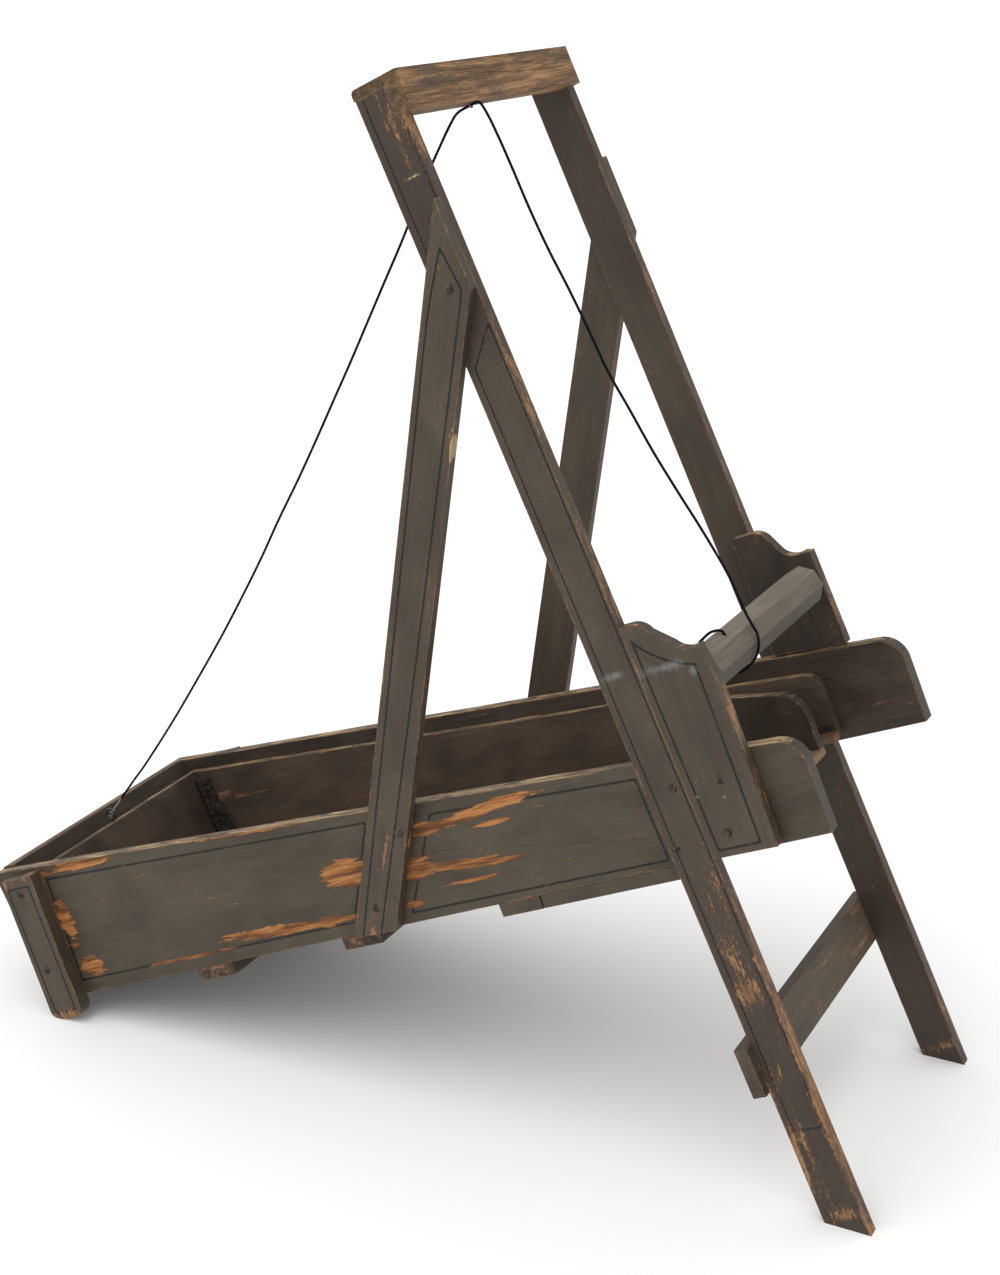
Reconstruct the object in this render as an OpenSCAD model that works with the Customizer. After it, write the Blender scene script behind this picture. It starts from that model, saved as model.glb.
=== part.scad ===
// Seed treater: a sloping wooden tank with a tipping tray, lifted by a rope over a tall frame.
// X runs from the low end to the discharge end, Z is up, and the origin is at the middle of the ground.

/* [Tank] */
// Slope of the tank's bottom edge, degrees from level
tank_pitch = 23.7; // [18:0.1:27]
// Length of a side wall along its bottom edge
wall_length = 694; // [640:1:760]
// Depth of a side wall at the low end
wall_depth_low = 114; // [95:1:130]
// Depth of a side wall at the discharge end
wall_depth_high = 68; // [58:1:80]
// Thickness of a side wall
wall_t = 12.5; // [10:0.5:15]
// Extra length of the far wall at the discharge end
far_wall_extra = 3; // [0:0.5:6]
// Radius of the side wall's upper corner at the discharge end
wall_corner_r = 19; // [8:1:28]
// Outward lean of the low end from square, degrees
end_lean = 3.5; // [0:0.25:5]
// Skew of the low end, which makes the far wall longer, degrees
end_skew = 3.2; // [0:0.1:3.3]
// Thickness of the end board
end_board_t = 12; // [9:0.5:15]
// Height of the end board above the side walls
end_board_rise = 1.5; // [0.5:0.5:6]
// Thickness of the tank's floor
tank_floor_t = 4.5; // [4:0.5:8]
// Gap between the tank floor's end and the sweep of the tray
floor_end_gap = 11; // [3:1:30]
// Width of a batten under the tank
batten_w = 34; // [24:1:36]
// Thickness of the battens and the bottom board
batten_t = 10; // [7:0.5:13]
// Distance from the low end to the lowest batten
batten_start = 154; // [120:1:156]
// Spacing of the battens
batten_pitch = 140; // [110:1:141]
// Gap between the highest batten and the bottom board
bottom_board_gap = 1; // [0:0.5:10]
// Width of the wide bottom board along the tank
bottom_board_w = 112; // [90:1:113]

/* [Feet of the tank] */
// Width of a foot cleat
cleat_w = 32; // [24:1:40]
// Thickness of a foot cleat
cleat_t = 13; // [9:0.5:16]
// Distance of a foot cleat from the low end
cleat_inset = 4; // [2:0.5:10]
// Reach of a foot cleat below the side wall
cleat_drop = 12.8; // [9:0.2:18]
// Distance of a foot cleat's top from the rim
cleat_top_drop = 5; // [2:0.5:12]
// Inward lean of a foot cleat from square, degrees
cleat_lean = 2.5; // [0:0.25:5]
// Radius of a foot cleat's lower corners
cleat_r = 8.5; // [5:0.5:12]
// Depth worn off the corner that stands on the ground
foot_flat = 0.6; // [0.3:0.1:1.5]

/* [Frame] */
// Lean of the stringers, degrees from upright
stringer_lean = 26.1; // [22:0.1:29]
// Length of a stringer's front edge
stringer_length = 814.5; // [740:0.5:880]
// Width of a stringer
stringer_w = 30; // [24:0.5:38]
// Thickness of a stringer
stringer_t = 9.5; // [7:0.5:12]
// Clear width between the stringers
frame_inner_w = 235; // [210:1:260]
// Distance from the low end to a stringer, along the tank's bottom edge
stringer_place = 583; // [578:1:600]
// Width of a brace
brace_w = 33; // [26:0.5:40]
// Thickness of a brace
brace_t = 7.5; // [6:0.5:10]
// Lean of a brace, degrees from upright
brace_lean = 7.3; // [5:0.1:9]
// Distance from the low end to a brace, along the tank's bottom edge
brace_place = 311; // [285:1:330]
// Thickness of the top rail
rail_t = 12; // [9:0.5:15]
// Height of the top rail below the stringers' ends
rail_drop = 21.5; // [16:0.5:28]
// Depth that the top rail is let into the stringers
rail_let_in = 6; // [3:0.5:9]
// Thickness of the cap board
cap_t = 7; // [5:0.5:10]
// Overhang of the cap board at the far end and at the front
cap_overhang = 1; // [0:0.5:4]
// Width of the lower crossbar
crossbar_w = 37; // [28:1:46]
// Thickness of the lower crossbar
crossbar_t = 10; // [7:0.5:13]
// Distance from the foot to the lower crossbar, along the stringer
crossbar_place = 101; // [60:1:140]
// Overhang of the lower crossbar at each end
crossbar_overhang = 7; // [0:0.5:12]

/* [Ears and windlass] */
// Width of the near ear at its foot
ear_near_w = 47; // [45:0.5:54]
// Reach of the far ear in front of its stringer's back edge
ear_far_w = 44.5; // [42:0.5:50]
// Overlap of the far ear's back with its stringer, at the crest
ear_far_lap = 11; // [8:0.5:14]
// Height of an ear's crest above the tank's bottom edge
ear_crest_h = 170; // [162:1:182]
// Height of an ear's hollow above the tank's bottom edge
ear_hollow_h = 145; // [138:0.1:147]
// Height of an ear's foot above the tank's bottom edge
ear_foot_h = 2.7; // [0:0.1:6]
// Radius of the crest
crest_r = 13.5; // [10:0.5:16]
// Radius of the hollow
hollow_r = 14.3; // [12:0.1:18]
// Height of the roller's axis above the tank's bottom edge
roller_h = 124; // [112:1:128]
// Distance of the roller's axis from the near ear's edge
roller_inset = 15.5; // [15:0.5:17]
// Width of the roller across its flats
roller_flats = 29; // [24:0.5:34]
// Turn of the roller's flats, degrees
roller_turn = 16.5; // [0:0.5:45]
// Gap between the roller and the near ear
roller_end_gap = 1; // [0.4:0.1:2]
// Gap between the roller and the far ear
roller_far_gap = 13.5; // [7:0.5:20]
// Length of the taper at the roller's far end
roller_end_taper = 4; // [2:0.5:7]
// Depth of the taper at the roller's far end
roller_end_cut = 3; // [1:0.5:4]
// Diameter of the roller's journals
journal_d = 9; // [7:0.5:9.5]
// Length of a journal inside an ear
journal_length = 6; // [4:0.5:7]
// Clearance round a journal and past its end
journal_gap = 0.3; // [0.2:0.05:0.5]
// Distance of the rope's hole in the roller from the middle, towards the near side
rope_hole_offset = 74; // [60:1:90]
// Diameter of the rope's hole in the roller
rope_hole_d = 3.6; // [3:0.1:5]

/* [Tray] */
// Thickness of the tray's walls
tray_wall_t = 8; // [6:0.5:10]
// Thickness of the tray's floor
tray_floor_t = 6.2; // [4:0.2:8]
// Gap between the tray and the tank's walls
tray_side_gap = 2; // [1.5:0.5:4]
// Gap between the tray and the end board
tray_end_gap = 10; // [8:0.5:14]
// Gap between the tray and the tank's floor at rest
tray_seat_gap = 0.3; // [0.2:0.1:1]
// Depth of the tray's rim below the tank's rim, at the low end
tray_drop_low = 10; // [8:0.5:20]
// Depth of the tray's rim below the tank's rim, at the tray's open end
tray_drop_high = 14.5; // [8:0.5:20]
// Distance from the tray's pivot to its open end
tray_overhang = 9; // [8:0.5:14]
// Distance of the tray's open end from the tank's discharge end
tray_end_inset = 63; // [56:1:75]
// Radius of the tray wall's upper corner
tray_corner_r = 12.5; // [6:0.5:16]
// Width of the spout's mouth
mouth_w = 100; // [70:1:130]
// Length of the spout's guides along the tray
guide_run = 161; // [120:1:190]
// Thickness of a spout guide
guide_t = 8.5; // [6:0.5:11]
// Depth of a guide's rim below the tray's rim
guide_drop = 1; // [0.5:0.5:10]
// Radius of a guide's upper corner
guide_corner_r = 21; // [6:0.5:26]
// Width of the floor left along each tray wall, beside the mouth
mouth_ledge_w = 11; // [8:0.5:16]
// Diameter of the pivot pins
pin_d = 6; // [4:0.5:8]
// Clearance round a pin in the tray
pin_gap = 0.3; // [0.2:0.05:0.6]
// Height of the pivot above the tank's bottom edge
pivot_h = 12.5; // [11.5:0.1:16]

/* [Fittings] */
// Diameter of a screw's head
screw_head_d = 7; // [5:0.5:9]
// Height of a screw's head
screw_head_h = 1.8; // [1:0.1:2.6]
// Diameter of a screw's shank
screw_shank_d = 3.2; // [2.4:0.1:4]
// Depth of a screw's shank in its board
screw_shank_length = 5; // [3:0.5:6]
// Clearance round and under a fitting in its bore
fitting_gap = 0.1; // [0.05:0.05:0.3]
// Diameter of the wire in the tray's eye
eye_wire = 2; // [1.4:0.1:2.4]
// Radius of the tray's eye to the middle of its wire
eye_r = 4.8; // [4.4:0.1:6]
// Height of the eye's ring above the wood
eye_stand = 1.2; // [0.6:0.1:4]
// Depth of the eye's shank in the wood
eye_shank_length = 8; // [5:0.5:12]
// Distance of the tray's eye from the middle, towards the near side
eye_offset = 9; // [0:1:30]
// Diameter of the wire in the link between the eye and the rope
link_wire = 1.1; // [0.8:0.1:1.3]
// Distance from the eye's wire to the link's far end
link_reach = 17.9; // [12:0.1:17.9]
// Thickness of the link's twisted shank
link_shank_d = 2; // [1.4:0.1:2.4]
// Clearance between the link and the eye's wire
link_gap = 0.35; // [0.3:0.05:0.5]
// Diameter of the wire in the rail's staple
staple_wire = 1; // [0.8:0.1:1.4]
// Clearance between the rope and the staple's wire
staple_gap = 0.2; // [0.15:0.05:0.4]
// Distance of the rope below the top rail, to its middle
rope_drop = 1.25; // [1.15:0.05:1.4]
// Depth of the staple's legs in the wood
staple_depth = 6; // [4:0.5:9]
// Distance of the staple from the middle, towards the near side
staple_offset = 38; // [20:1:60]
// Diameter of the rope
rope_d = 2; // [1.6:0.1:2.2]

/* [Hidden] */
$fn = 48;

// Colours as the photograph shows them
paint = [0.36, 0.33, 0.27];
shaded_paint = [0.26, 0.22, 0.18];
worn_wood = [0.45, 0.35, 0.25];
bare_wood = [0.72, 0.66, 0.56];
steel = [0.30, 0.28, 0.26];
rope_colour = [0.10, 0.10, 0.12];

// Directions of the tank's length and height, and of a stringer's length
tank_u = [cos(tank_pitch), sin(tank_pitch)];
tank_v = [-sin(tank_pitch), cos(tank_pitch)];
string_s = [-sin(stringer_lean), cos(stringer_lean)];

// The frame's planes, and the taper that lets a brace lie on both the stringer and the wall
frame_half = frame_inner_w / 2;
frame_outer_half = frame_half + stringer_t;
rim_slope = (wall_depth_high - wall_depth_low) / wall_length;
stringer_rim_place = stringer_place - tan(stringer_lean - tank_pitch) * wall_depth_low;
taper = atan(stringer_t / (stringer_rim_place - brace_place));
wall_half_low = frame_outer_half + brace_place * tan(taper);
lean_shift = -tan(end_lean);
cleat_shift = tan(cleat_lean);

// The low foot's worn corner stands on the ground
foot_centre = [cleat_inset + cleat_r, cleat_r - cleat_drop];
tank_z = cleat_r - foot_flat - foot_centre * [sin(tank_pitch), cos(tank_pitch)];

// Both ends of the object, from the tank's low corner, and the middle between them
end_board_top = wall_depth_low + end_board_rise;
far_corner_u = low_end_u(rim_at(low_end_u(wall_depth_low)));
low_end_x = far_corner_u * tank_u[0] + rim_at(far_corner_u) * tank_v[0];
stringer_cross = stringer_place * tank_u + [0, tank_z];
foot_front_x = stringer_cross[0] + stringer_cross[1] * tan(stringer_lean);
foot_back_x = foot_front_x + stringer_w / cos(stringer_lean);
tank_x = -(low_end_x + foot_back_x) / 2;
tank_origin = [tank_x, tank_z];
foot_x = tank_x + foot_front_x;

// Boards start here, past the skewed low end, and are cut to it
uncut_end = 1.5 * low_end_u(wall_depth_low);

// The tray's places along the tank
tray_bottom = tank_floor_t + tray_seat_gap;
tray_floor_top = tray_bottom + tray_floor_t;
tray_end = wall_length - tray_end_inset;
pivot_u = tray_end - tray_overhang;
tray_sweep_r = norm([tray_overhang, pivot_h - tray_bottom]);
tank_floor_end = pivot_u - tray_sweep_r - floor_end_gap;
guide_start = tray_end - guide_run;
guide_foot = [guide_start, -tray_inner_half(guide_start)];
guide_mouth = [tray_end, -mouth_w / 2];
guide_way = guide_mouth - guide_foot;
guide_back = [0, -guide_t / cos(atan(guide_way[1] / guide_run))];
tray_low_face = end_board_t + tray_end_gap;
tray_end_top = wall_depth_low - tray_drop_low;

// The bottom board lies next to the highest batten
bottom_board_start = batten_start + 2 * batten_pitch + batten_w + bottom_board_gap;

// The near ear stands against the stringer's back edge
stringer_back = foot_x + stringer_w / cos(stringer_lean);
back_foot_uv = to_tank([stringer_back, 0]);
back_slope = tan(tank_pitch - stringer_lean);
near_edge = back_at(0) + ear_near_w;
ear_tip_inset = 4;
ear_tip_rise = 1.2;
ear_crest_reach = 47;
ear_shoulder_drop = 22;
ear_hollow_inset = 0.7;
least_crest_flat = 0.2;
crest_arc = [25, 90];
hollow_arc = [290, 215];

// The far ear stands on the wall's rim, against the stringer's inner face
far_ear_face = frame_half - stringer_t;
far_ear_back = back_at(ear_crest_h) - ear_far_lap;
far_corner = [back_at(ear_hollow_h) + ear_far_w, ear_hollow_h - 0.4];
far_hollow_reach = 11;
far_crest_reach = 41;

// The windlass
roller_uv = [near_edge - roller_inset, roller_h];
roller_xz = from_tank(roller_uv);
roller_corner_r = roller_flats / 2 / cos(180 / 8);
roller_near_end = -frame_half + roller_end_gap;
roller_far_end = far_ear_face - roller_far_gap;

// Screws, as distances along and above the tank's bottom edge; a brace's are across and up the brace
cleat_screw_uv = [[23.4, 95.4], [17.6, 29.9]];
brace_screw_places = [[14.8, 32.5], [26.7, 98.5]];
ear_screw_inset = [[23, 55.1], [31, 19.1]];
stringer_screw_uv = [[back_at(56.8) - 9, 56.8], [back_at(15.2) - 24, 15.2]];
brace_top_screw = [stringer_w / 2, 682];
slot_turn = 35;
slot_size = 0.8;

// The staple's wire goes round the rope, and the link points along it
staple_r = rope_d / 2 + staple_gap + staple_wire / 2;
staple_leg = rope_drop;
link_turn = 60;
link_swing = 2.75;

// The rope's route: chosen points from the link to the rail's staple, and down to the roller
rope_lift_route = [[-328.8, -9.9, 131.9], [-324.6, -10.2, 137.6], [-313, -11, 153], [-297, -12, 174],
    [-267, -14, 217], [-239, -17, 259], [-214, -19, 298], [-191, -21, 336], [-170, -22, 373],
    [-151, -24, 408], [-132, -25, 442], [-114, -27, 475], [-97, -28, 508], [-80, -30, 540],
    [-65, -31, 570], [-50, -32, 600], [-34, -33, 632], [-16, -35, 671], [-1, -36, 700],
    [6.5, -36.7, 713], [10, -37, 717.7], [14.2, -37.4, 720.7], [17.8, -37.8, 722.4], [21.4, -38, 724.2]];
rope_fall_route = [[21.4, -38, 724.2], [25, -38.2, 726], [27.4, -38.3, 726.6], [29.3, -38.4, 725.6],
    [31.6, -38.5, 722.9], [36, -38.7, 716.5], [41, -38.9, 708], [47, -39, 697], [54, -39, 683.5],
    [67, -40, 659], [82, -41, 633], [98, -41, 607], [113, -42, 582], [128, -43, 556], [145, -43, 531],
    [163, -44, 505], [182, -45, 480], [202, -46, 454.5], [222, -47, 427], [236, -48, 402.5],
    [243.5, -48, 391.3]];

// The rope's turn round the roller slants to the near side, and chosen points lead it back to its hole
wrap_gap = 0.3;
wrap_r = roller_corner_r + rope_d / 2 + wrap_gap;
wrap_start = [37, -48];
wrap_end = [-228, -84];
wrap_steps = 18;
wrap_turn = [for (i = [0:wrap_steps]) let (
    part = i / wrap_steps,
    place = wrap_start + (wrap_end - wrap_start) * part)
    on_wrap(place[0], place[1], wrap_r)];
wrap_tail = [on_wrap(-246, -81, wrap_r + 1.5), on_wrap(-260, -76.5, wrap_r + 1),
    on_wrap(-268, -74.3, wrap_r - 1), on_wrap(-270, -rope_hole_offset, wrap_r - 4),
    on_wrap(-270, -rope_hole_offset, wrap_r - 9)];
wrap_lead = wrap_turn[0] - rope_d * [sin(wrap_start[0]), 0, -cos(wrap_start[0])];
wrap_route = concat([wrap_lead], wrap_turn, wrap_tail);

// Point beside the roller's axis at an angle, a place along it and a distance from it
function on_wrap(a, y, r) = [roller_xz[0] + r * cos(a), y, roller_xz[1] + r * sin(a)];

// Least gap between a tube's own stretches that lie further apart along it than their reach
own_reach = 3.5;
function least_gap(route, d) = min([for (i = [0:len(route) - 1]) for (k = [i + 1:1:len(route) - 1])
    if (route_length(route, i, k) > own_reach * d) norm(route[i] - route[k])]) - d;
function route_length(route, i, k) =
    i >= k ? 0 : norm(route[i + 1] - route[i]) + route_length(route, i + 1, k);

// Distance along and above the tank's bottom edge of a point in the side view
function to_tank(q) = [(q - tank_origin) * tank_u, (q - tank_origin) * tank_v];

// Point in the side view at a distance along and above the tank's bottom edge
function from_tank(uv) = tank_origin + uv[0] * tank_u + uv[1] * tank_v;

// Place of the stringer's back edge at a height above the tank's bottom edge
function back_at(v) = back_foot_uv[0] + (v - back_foot_uv[1]) * back_slope;

// Place along the tank of the far wall's low end, at a height above the bottom edge
function low_end_u(v) = (lean_shift * v - 2 * wall_half_low * sin(end_skew))
    / (cos(end_skew) - tan(taper) * sin(end_skew));

// Height of the rims along the tank, and the half width between its walls
function rim_at(u) = wall_depth_low + rim_slope * u;
function tray_rim_at(u) = rim_at(u) - tray_drop_low - (tray_drop_high - tray_drop_low) * u / tray_end;
function wall_outer_half(u) = wall_half_low - tan(taper) * u;
function wall_inner_half(u) = wall_outer_half(u) - wall_t / cos(taper);
function tray_outer_half(u) = wall_inner_half(u) - tray_side_gap / cos(taper);
function tray_inner_half(u) = tray_outer_half(u) - tray_wall_t / cos(taper);

// Points along an arc, both ends included
function arc(centre, r, a0, a1, steps = 8) =
    [for (i = [0:steps]) centre + r * [cos(a0 + (a1 - a0) * i / steps), sin(a0 + (a1 - a0) * i / steps)]];

// Point where two lines cross, each given by a point and a direction
function crossing(p, d, q, e) = p + d * cross(q - p, e) / cross(d, e);

// Unit vector
function unit(v) = v / norm(v);

// Direction of a route at one of its points
function along(route, i) = unit(route[min(i + 1, len(route) - 1)] - route[max(i - 1, 0)]);

// Ring of points round a route, with its first point on the side away from the middle
function ring_at(route, i, r, sides) = let (
    t = along(route, i),
    side = unit(cross(t, [0, 1, 0])),
    up = cross(side, t))
    [for (k = [0:sides - 1]) route[i] + r * (cos(360 * k / sides) * side + sin(360 * k / sides) * up)];

// Tube swept along a route
module tube(route, d, sides = 8) {
    rings = [for (i = [0:len(route) - 1]) each ring_at(route, i, d / 2, sides)];
    last = (len(route) - 1) * sides;
    walls = [for (i = [0:len(route) - 2]) for (k = [0:sides - 1]) let (
        a = i * sides + k,
        b = i * sides + (k + 1) % sides)
        each [[a, a + sides, b + sides], [a, b + sides, b]]];
    caps = [for (k = [1:sides - 2]) each [[0, k, k + 1], [last, last + k + 1, last + k]]];
    polyhedron(rings, concat(walls, caps), convexity = 10);
}

// Side view outline made into a board between two planes of Y
module board(y0, y1) {
    translate([0, y1, 0]) rotate([90, 0, 0]) linear_extrude(y1 - y0) children();
}

// Places: the tank's own directions, a stringer's, and a near wall's outer face
module in_tank() {
    translate([tank_x, 0, tank_z]) rotate([0, -tank_pitch, 0]) children();
}

module in_frame() {
    translate([foot_x, 0, 0]) rotate([0, -stringer_lean, 0]) children();
}

module on_near_wall() {
    in_tank() translate([0, -wall_half_low, 0]) rotate([0, 0, taper]) children();
}

module far_side() {
    mirror([0, 1, 0]) children();
}

// Tapered block between the walls, with its half widths given at both ends
module tapered_block(u0, u1, half0, half1, v0, v1) {
    translate([0, 0, v0]) linear_extrude(v1 - v0)
        polygon([[u0, -half0], [u1, -half1], [u1, half1], [u0, half0]]);
}

// Bore or pin that runs from one Y to another
module across(y0, y1, d) {
    translate([0, y1, 0]) rotate([90, 0, 0]) cylinder(h = y1 - y0, d = d);
}

// The low end's own directions: X square to the skewed end, from the near wall's outer face
module at_low_end() {
    in_tank() translate([0, -wall_half_low, 0]) rotate([0, 0, end_skew]) children();
}

// Slab that leans with the low end, between two distances from it and two heights
module low_end_slab(x0, x1, v0, v1) {
    at_low_end() board(-wall_half_low, 3 * wall_half_low)
        polygon([[x0 + lean_shift * v0, v0], [x1 + lean_shift * v0, v0],
            [x1 + lean_shift * v1, v1], [x0 + lean_shift * v1, v1]]);
}

// What lies past a distance from the low end
module past_low_end(x0) {
    low_end_slab(x0, 2 * wall_length, -wall_depth_low, 2 * wall_depth_low);
}

// Tank

module tank_wall(end) {
    corner = [end - wall_corner_r, rim_at(end) - wall_corner_r];
    difference() {
        on_near_wall() board(0, wall_t)
            polygon(concat([[uncut_end, 0], [end, 0]],
                arc(corner, wall_corner_r, 0, 90 + atan(rim_slope)),
                [[uncut_end, rim_at(uncut_end)]]));
        in_tank() translate([pivot_u, 0, pivot_h])
            across(-wall_half_low, 0, pin_d + 2 * fitting_gap);
    }
}

module tank_wall_near() {
    color(paint) intersection() {
        tank_wall(wall_length);
        past_low_end(0);
    }
}

module tank_wall_far() {
    color(paint) intersection() {
        far_side() tank_wall(wall_length + far_wall_extra);
        past_low_end(0);
    }
}

// What lies between the tank's walls, or between the tray's, from the low end's corner to a distance
module between_tank_walls(u1, v0, v1) {
    in_tank() tapered_block(uncut_end, u1, wall_inner_half(uncut_end), wall_inner_half(u1), v0, v1);
}

module between_tray_walls(u1, v0, v1) {
    in_tank() tapered_block(uncut_end, u1, tray_inner_half(uncut_end), tray_inner_half(u1), v0, v1);
}

module tank_end_board() {
    color(shaded_paint) intersection() {
        between_tank_walls(wall_length, 0, end_board_top);
        low_end_slab(0, end_board_t, 0, end_board_top);
    }
}

module tank_floor() {
    color(shaded_paint) intersection() {
        between_tank_walls(tank_floor_end, 0, tank_floor_t);
        past_low_end(end_board_t);
    }
}

module under_board(u0, w) {
    color(shaded_paint) in_tank()
        tapered_block(u0, u0 + w, wall_outer_half(u0), wall_outer_half(u0 + w), -batten_t, 0);
}

module batten_low() {
    under_board(batten_start, batten_w);
}

module batten_middle() {
    under_board(batten_start + batten_pitch, batten_w);
}

module batten_high() {
    under_board(batten_start + 2 * batten_pitch, batten_w);
}

module bottom_board() {
    under_board(bottom_board_start, bottom_board_w);
}

// Feet of the tank

module below_ground() {
    translate([tank_x - wall_depth_low, -2 * frame_inner_w, -wall_depth_low])
        cube([wall_length, 4 * frame_inner_w, wall_depth_low]);
}

module foot_cleat() {
    top = wall_depth_low - cleat_top_drop;
    right_foot = [cleat_inset + cleat_w - cleat_r, cleat_r - cleat_drop];
    color(paint) difference() {
        on_near_wall() board(-cleat_t, 0)
            polygon(concat(arc(foot_centre, cleat_r, 180, 270), arc(right_foot, cleat_r, 270, 360),
                [[cleat_inset + cleat_w + cleat_shift * top, top], [cleat_inset + cleat_shift * top, top]]));
        below_ground();
        cleat_bores();
    }
}

module foot_cleat_near() {
    foot_cleat();
}

module foot_cleat_far() {
    far_side() foot_cleat();
}

// Frame

module stringer() {
    color(paint) difference() {
        in_frame() board(-frame_outer_half, -frame_half)
            polygon([[0, 0], [stringer_w, -stringer_w * tan(stringer_lean)],
                [stringer_w, stringer_length - rail_drop],
                [stringer_w - rail_let_in, stringer_length - rail_drop],
                [stringer_w - rail_let_in, stringer_length], [0, stringer_length]]);
        stringer_bores();
    }
}

module stringer_near() {
    stringer();
}

module stringer_far() {
    far_side() stringer();
}

module in_brace() {
    foot = from_tank([brace_place, 0]);
    translate([foot[0], 0, foot[1]]) rotate([0, brace_lean, 0]) children();
}

module brace() {
    rise = [sin(brace_lean), cos(brace_lean)];
    left = from_tank([brace_place, 0]);
    right = left + brace_w * [cos(brace_lean), -sin(brace_lean)];
    back = [stringer_back, 0];
    color(paint) difference() {
        board(-frame_outer_half - brace_t, -frame_outer_half)
            polygon([left, crossing(right, rise, left, tank_u), crossing(right, rise, back, string_s),
                crossing(left, rise, back, string_s)]);
        brace_bores();
    }
}

module brace_near() {
    brace();
}

module brace_far() {
    far_side() brace();
}

module top_rail() {
    color(worn_wood) difference() {
        in_frame() board(-frame_outer_half, frame_outer_half)
            translate([stringer_w - rail_let_in, stringer_length - rail_drop])
                square([rail_t, rail_drop + cap_t]);
        staple_legs(staple_depth + fitting_gap, staple_wire + 2 * fitting_gap);
    }
}

module cap_board() {
    depth = stringer_w - rail_let_in + cap_overhang;
    color(worn_wood) in_frame() board(-frame_outer_half, frame_outer_half + cap_overhang)
        translate([-cap_overhang, stringer_length]) polygon(concat(
            [[0, 0], [depth, 0], [depth, cap_t]], arc([cap_t / 2, cap_t / 2], cap_t / 2, 90, 180)));
}

module lower_crossbar() {
    half = frame_outer_half + crossbar_overhang;
    color(worn_wood) in_frame() board(-half, half)
        translate([-crossbar_t, crossbar_place]) square([crossbar_t, crossbar_w]);
}

// Ears and windlass

// Top of an ear, from its front corner to the crest, with the places of the hollow's and the crest's middles
function ear_top(corner, hollow_u, crest_u) = concat([corner],
    arc([hollow_u, ear_hollow_h + hollow_r], hollow_r, hollow_arc[0], hollow_arc[1]),
    arc([crest_u, ear_crest_h - crest_r], crest_r, crest_arc[0], crest_arc[1]));

// Bore for a journal in the ear whose inner face lies at a Y
module journal_bore(face) {
    translate([roller_xz[0], 0, roller_xz[1]])
        across(face - journal_length - journal_gap, face + 1, journal_d + 2 * journal_gap);
}

module ear_near() {
    color(paint) difference() {
        in_tank() board(-frame_outer_half, -frame_half)
            polygon(concat([[back_at(ear_foot_h), ear_foot_h], [near_edge, ear_foot_h],
                [near_edge, ear_hollow_h - ear_shoulder_drop]],
                ear_top([near_edge - ear_tip_inset, ear_hollow_h + ear_tip_rise],
                    near_edge - hollow_r * ear_hollow_inset,
                    max(back_at(ear_crest_h) + least_crest_flat, near_edge - ear_crest_reach)),
                [[back_at(ear_crest_h), ear_crest_h]]));
        journal_bore(-frame_half);
        at_ear_screws() screw_bore();
    }
}

module ear_far() {
    foot_u = back_at(rim_at(far_corner[0])) + ear_far_w;
    color(paint) far_side() difference() {
        in_tank() board(-frame_half, -far_ear_face)
            polygon(concat([[far_ear_back, rim_at(far_ear_back) + fitting_gap],
                [foot_u, rim_at(foot_u) + fitting_gap]],
                ear_top(far_corner, far_corner[0] - far_hollow_reach, far_corner[0] - far_crest_reach),
                [[far_ear_back, ear_crest_h]]));
        journal_bore(-far_ear_face);
    }
}

module roller_body() {
    straight_end = roller_far_end - roller_end_taper;
    rotate([0, -roller_turn, 0]) translate([0, straight_end, 0]) rotate([90, 0, 0]) {
        cylinder(h = straight_end - roller_near_end, r = roller_corner_r, $fn = 8);
        translate([0, 0, -roller_end_taper]) cylinder(h = roller_end_taper,
            r1 = roller_corner_r - roller_end_cut, r2 = roller_corner_r, $fn = 8);
    }
}

module windlass_roller() {
    color(bare_wood) translate([roller_xz[0], 0, roller_xz[1]]) difference() {
        union() {
            roller_body();
            across(-frame_half - journal_length, far_ear_face + journal_length, journal_d);
        }
        translate([0, -rope_hole_offset, 0])
            cylinder(h = roller_flats, d = rope_hole_d);
    }
}

// Tray

module tray_wall() {
    corner = [tray_end - tray_corner_r, tray_rim_at(tray_end) - tray_corner_r];
    difference() {
        on_near_wall() board(wall_t + tray_side_gap, wall_t + tray_side_gap + tray_wall_t)
            polygon(concat([[uncut_end, tray_bottom], [tray_end, tray_bottom]],
                arc(corner, tray_corner_r, 0, 90 + atan(rim_slope)),
                [[uncut_end, tray_rim_at(uncut_end)]]));
        in_tank() translate([pivot_u, 0, pivot_h]) across(-wall_half_low, 0, pin_d + 2 * pin_gap);
    }
}

module tray_wall_near() {
    color(shaded_paint) intersection() {
        tray_wall();
        past_low_end(tray_low_face);
    }
}

module tray_wall_far() {
    color(shaded_paint) intersection() {
        far_side() tray_wall();
        past_low_end(tray_low_face);
    }
}

module tray_end_wall() {
    color(shaded_paint) difference() {
        intersection() {
            between_tray_walls(wall_length, tray_bottom, tray_end_top);
            low_end_slab(tray_low_face, tray_low_face + tray_wall_t, tray_bottom, tray_end_top);
        }
        eye_place() translate([0, 0, -eye_shank_length - fitting_gap])
            cylinder(h = eye_shank_length + 1, d = eye_wire + 2 * fitting_gap);
    }
}

// The notch in the floor between a guide and the ledge along the wall
module beside_mouth() {
    outer = guide_mouth + guide_back;
    ledge = [tray_end, mouth_ledge_w - tray_inner_half(tray_end)];
    meeting = crossing(outer, guide_way, ledge, [cos(taper), sin(taper)]);
    past_end = [1, 0];
    in_tank() linear_extrude(wall_depth_low)
        polygon([meeting, outer, outer + past_end, ledge + past_end, ledge]);
}

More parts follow.
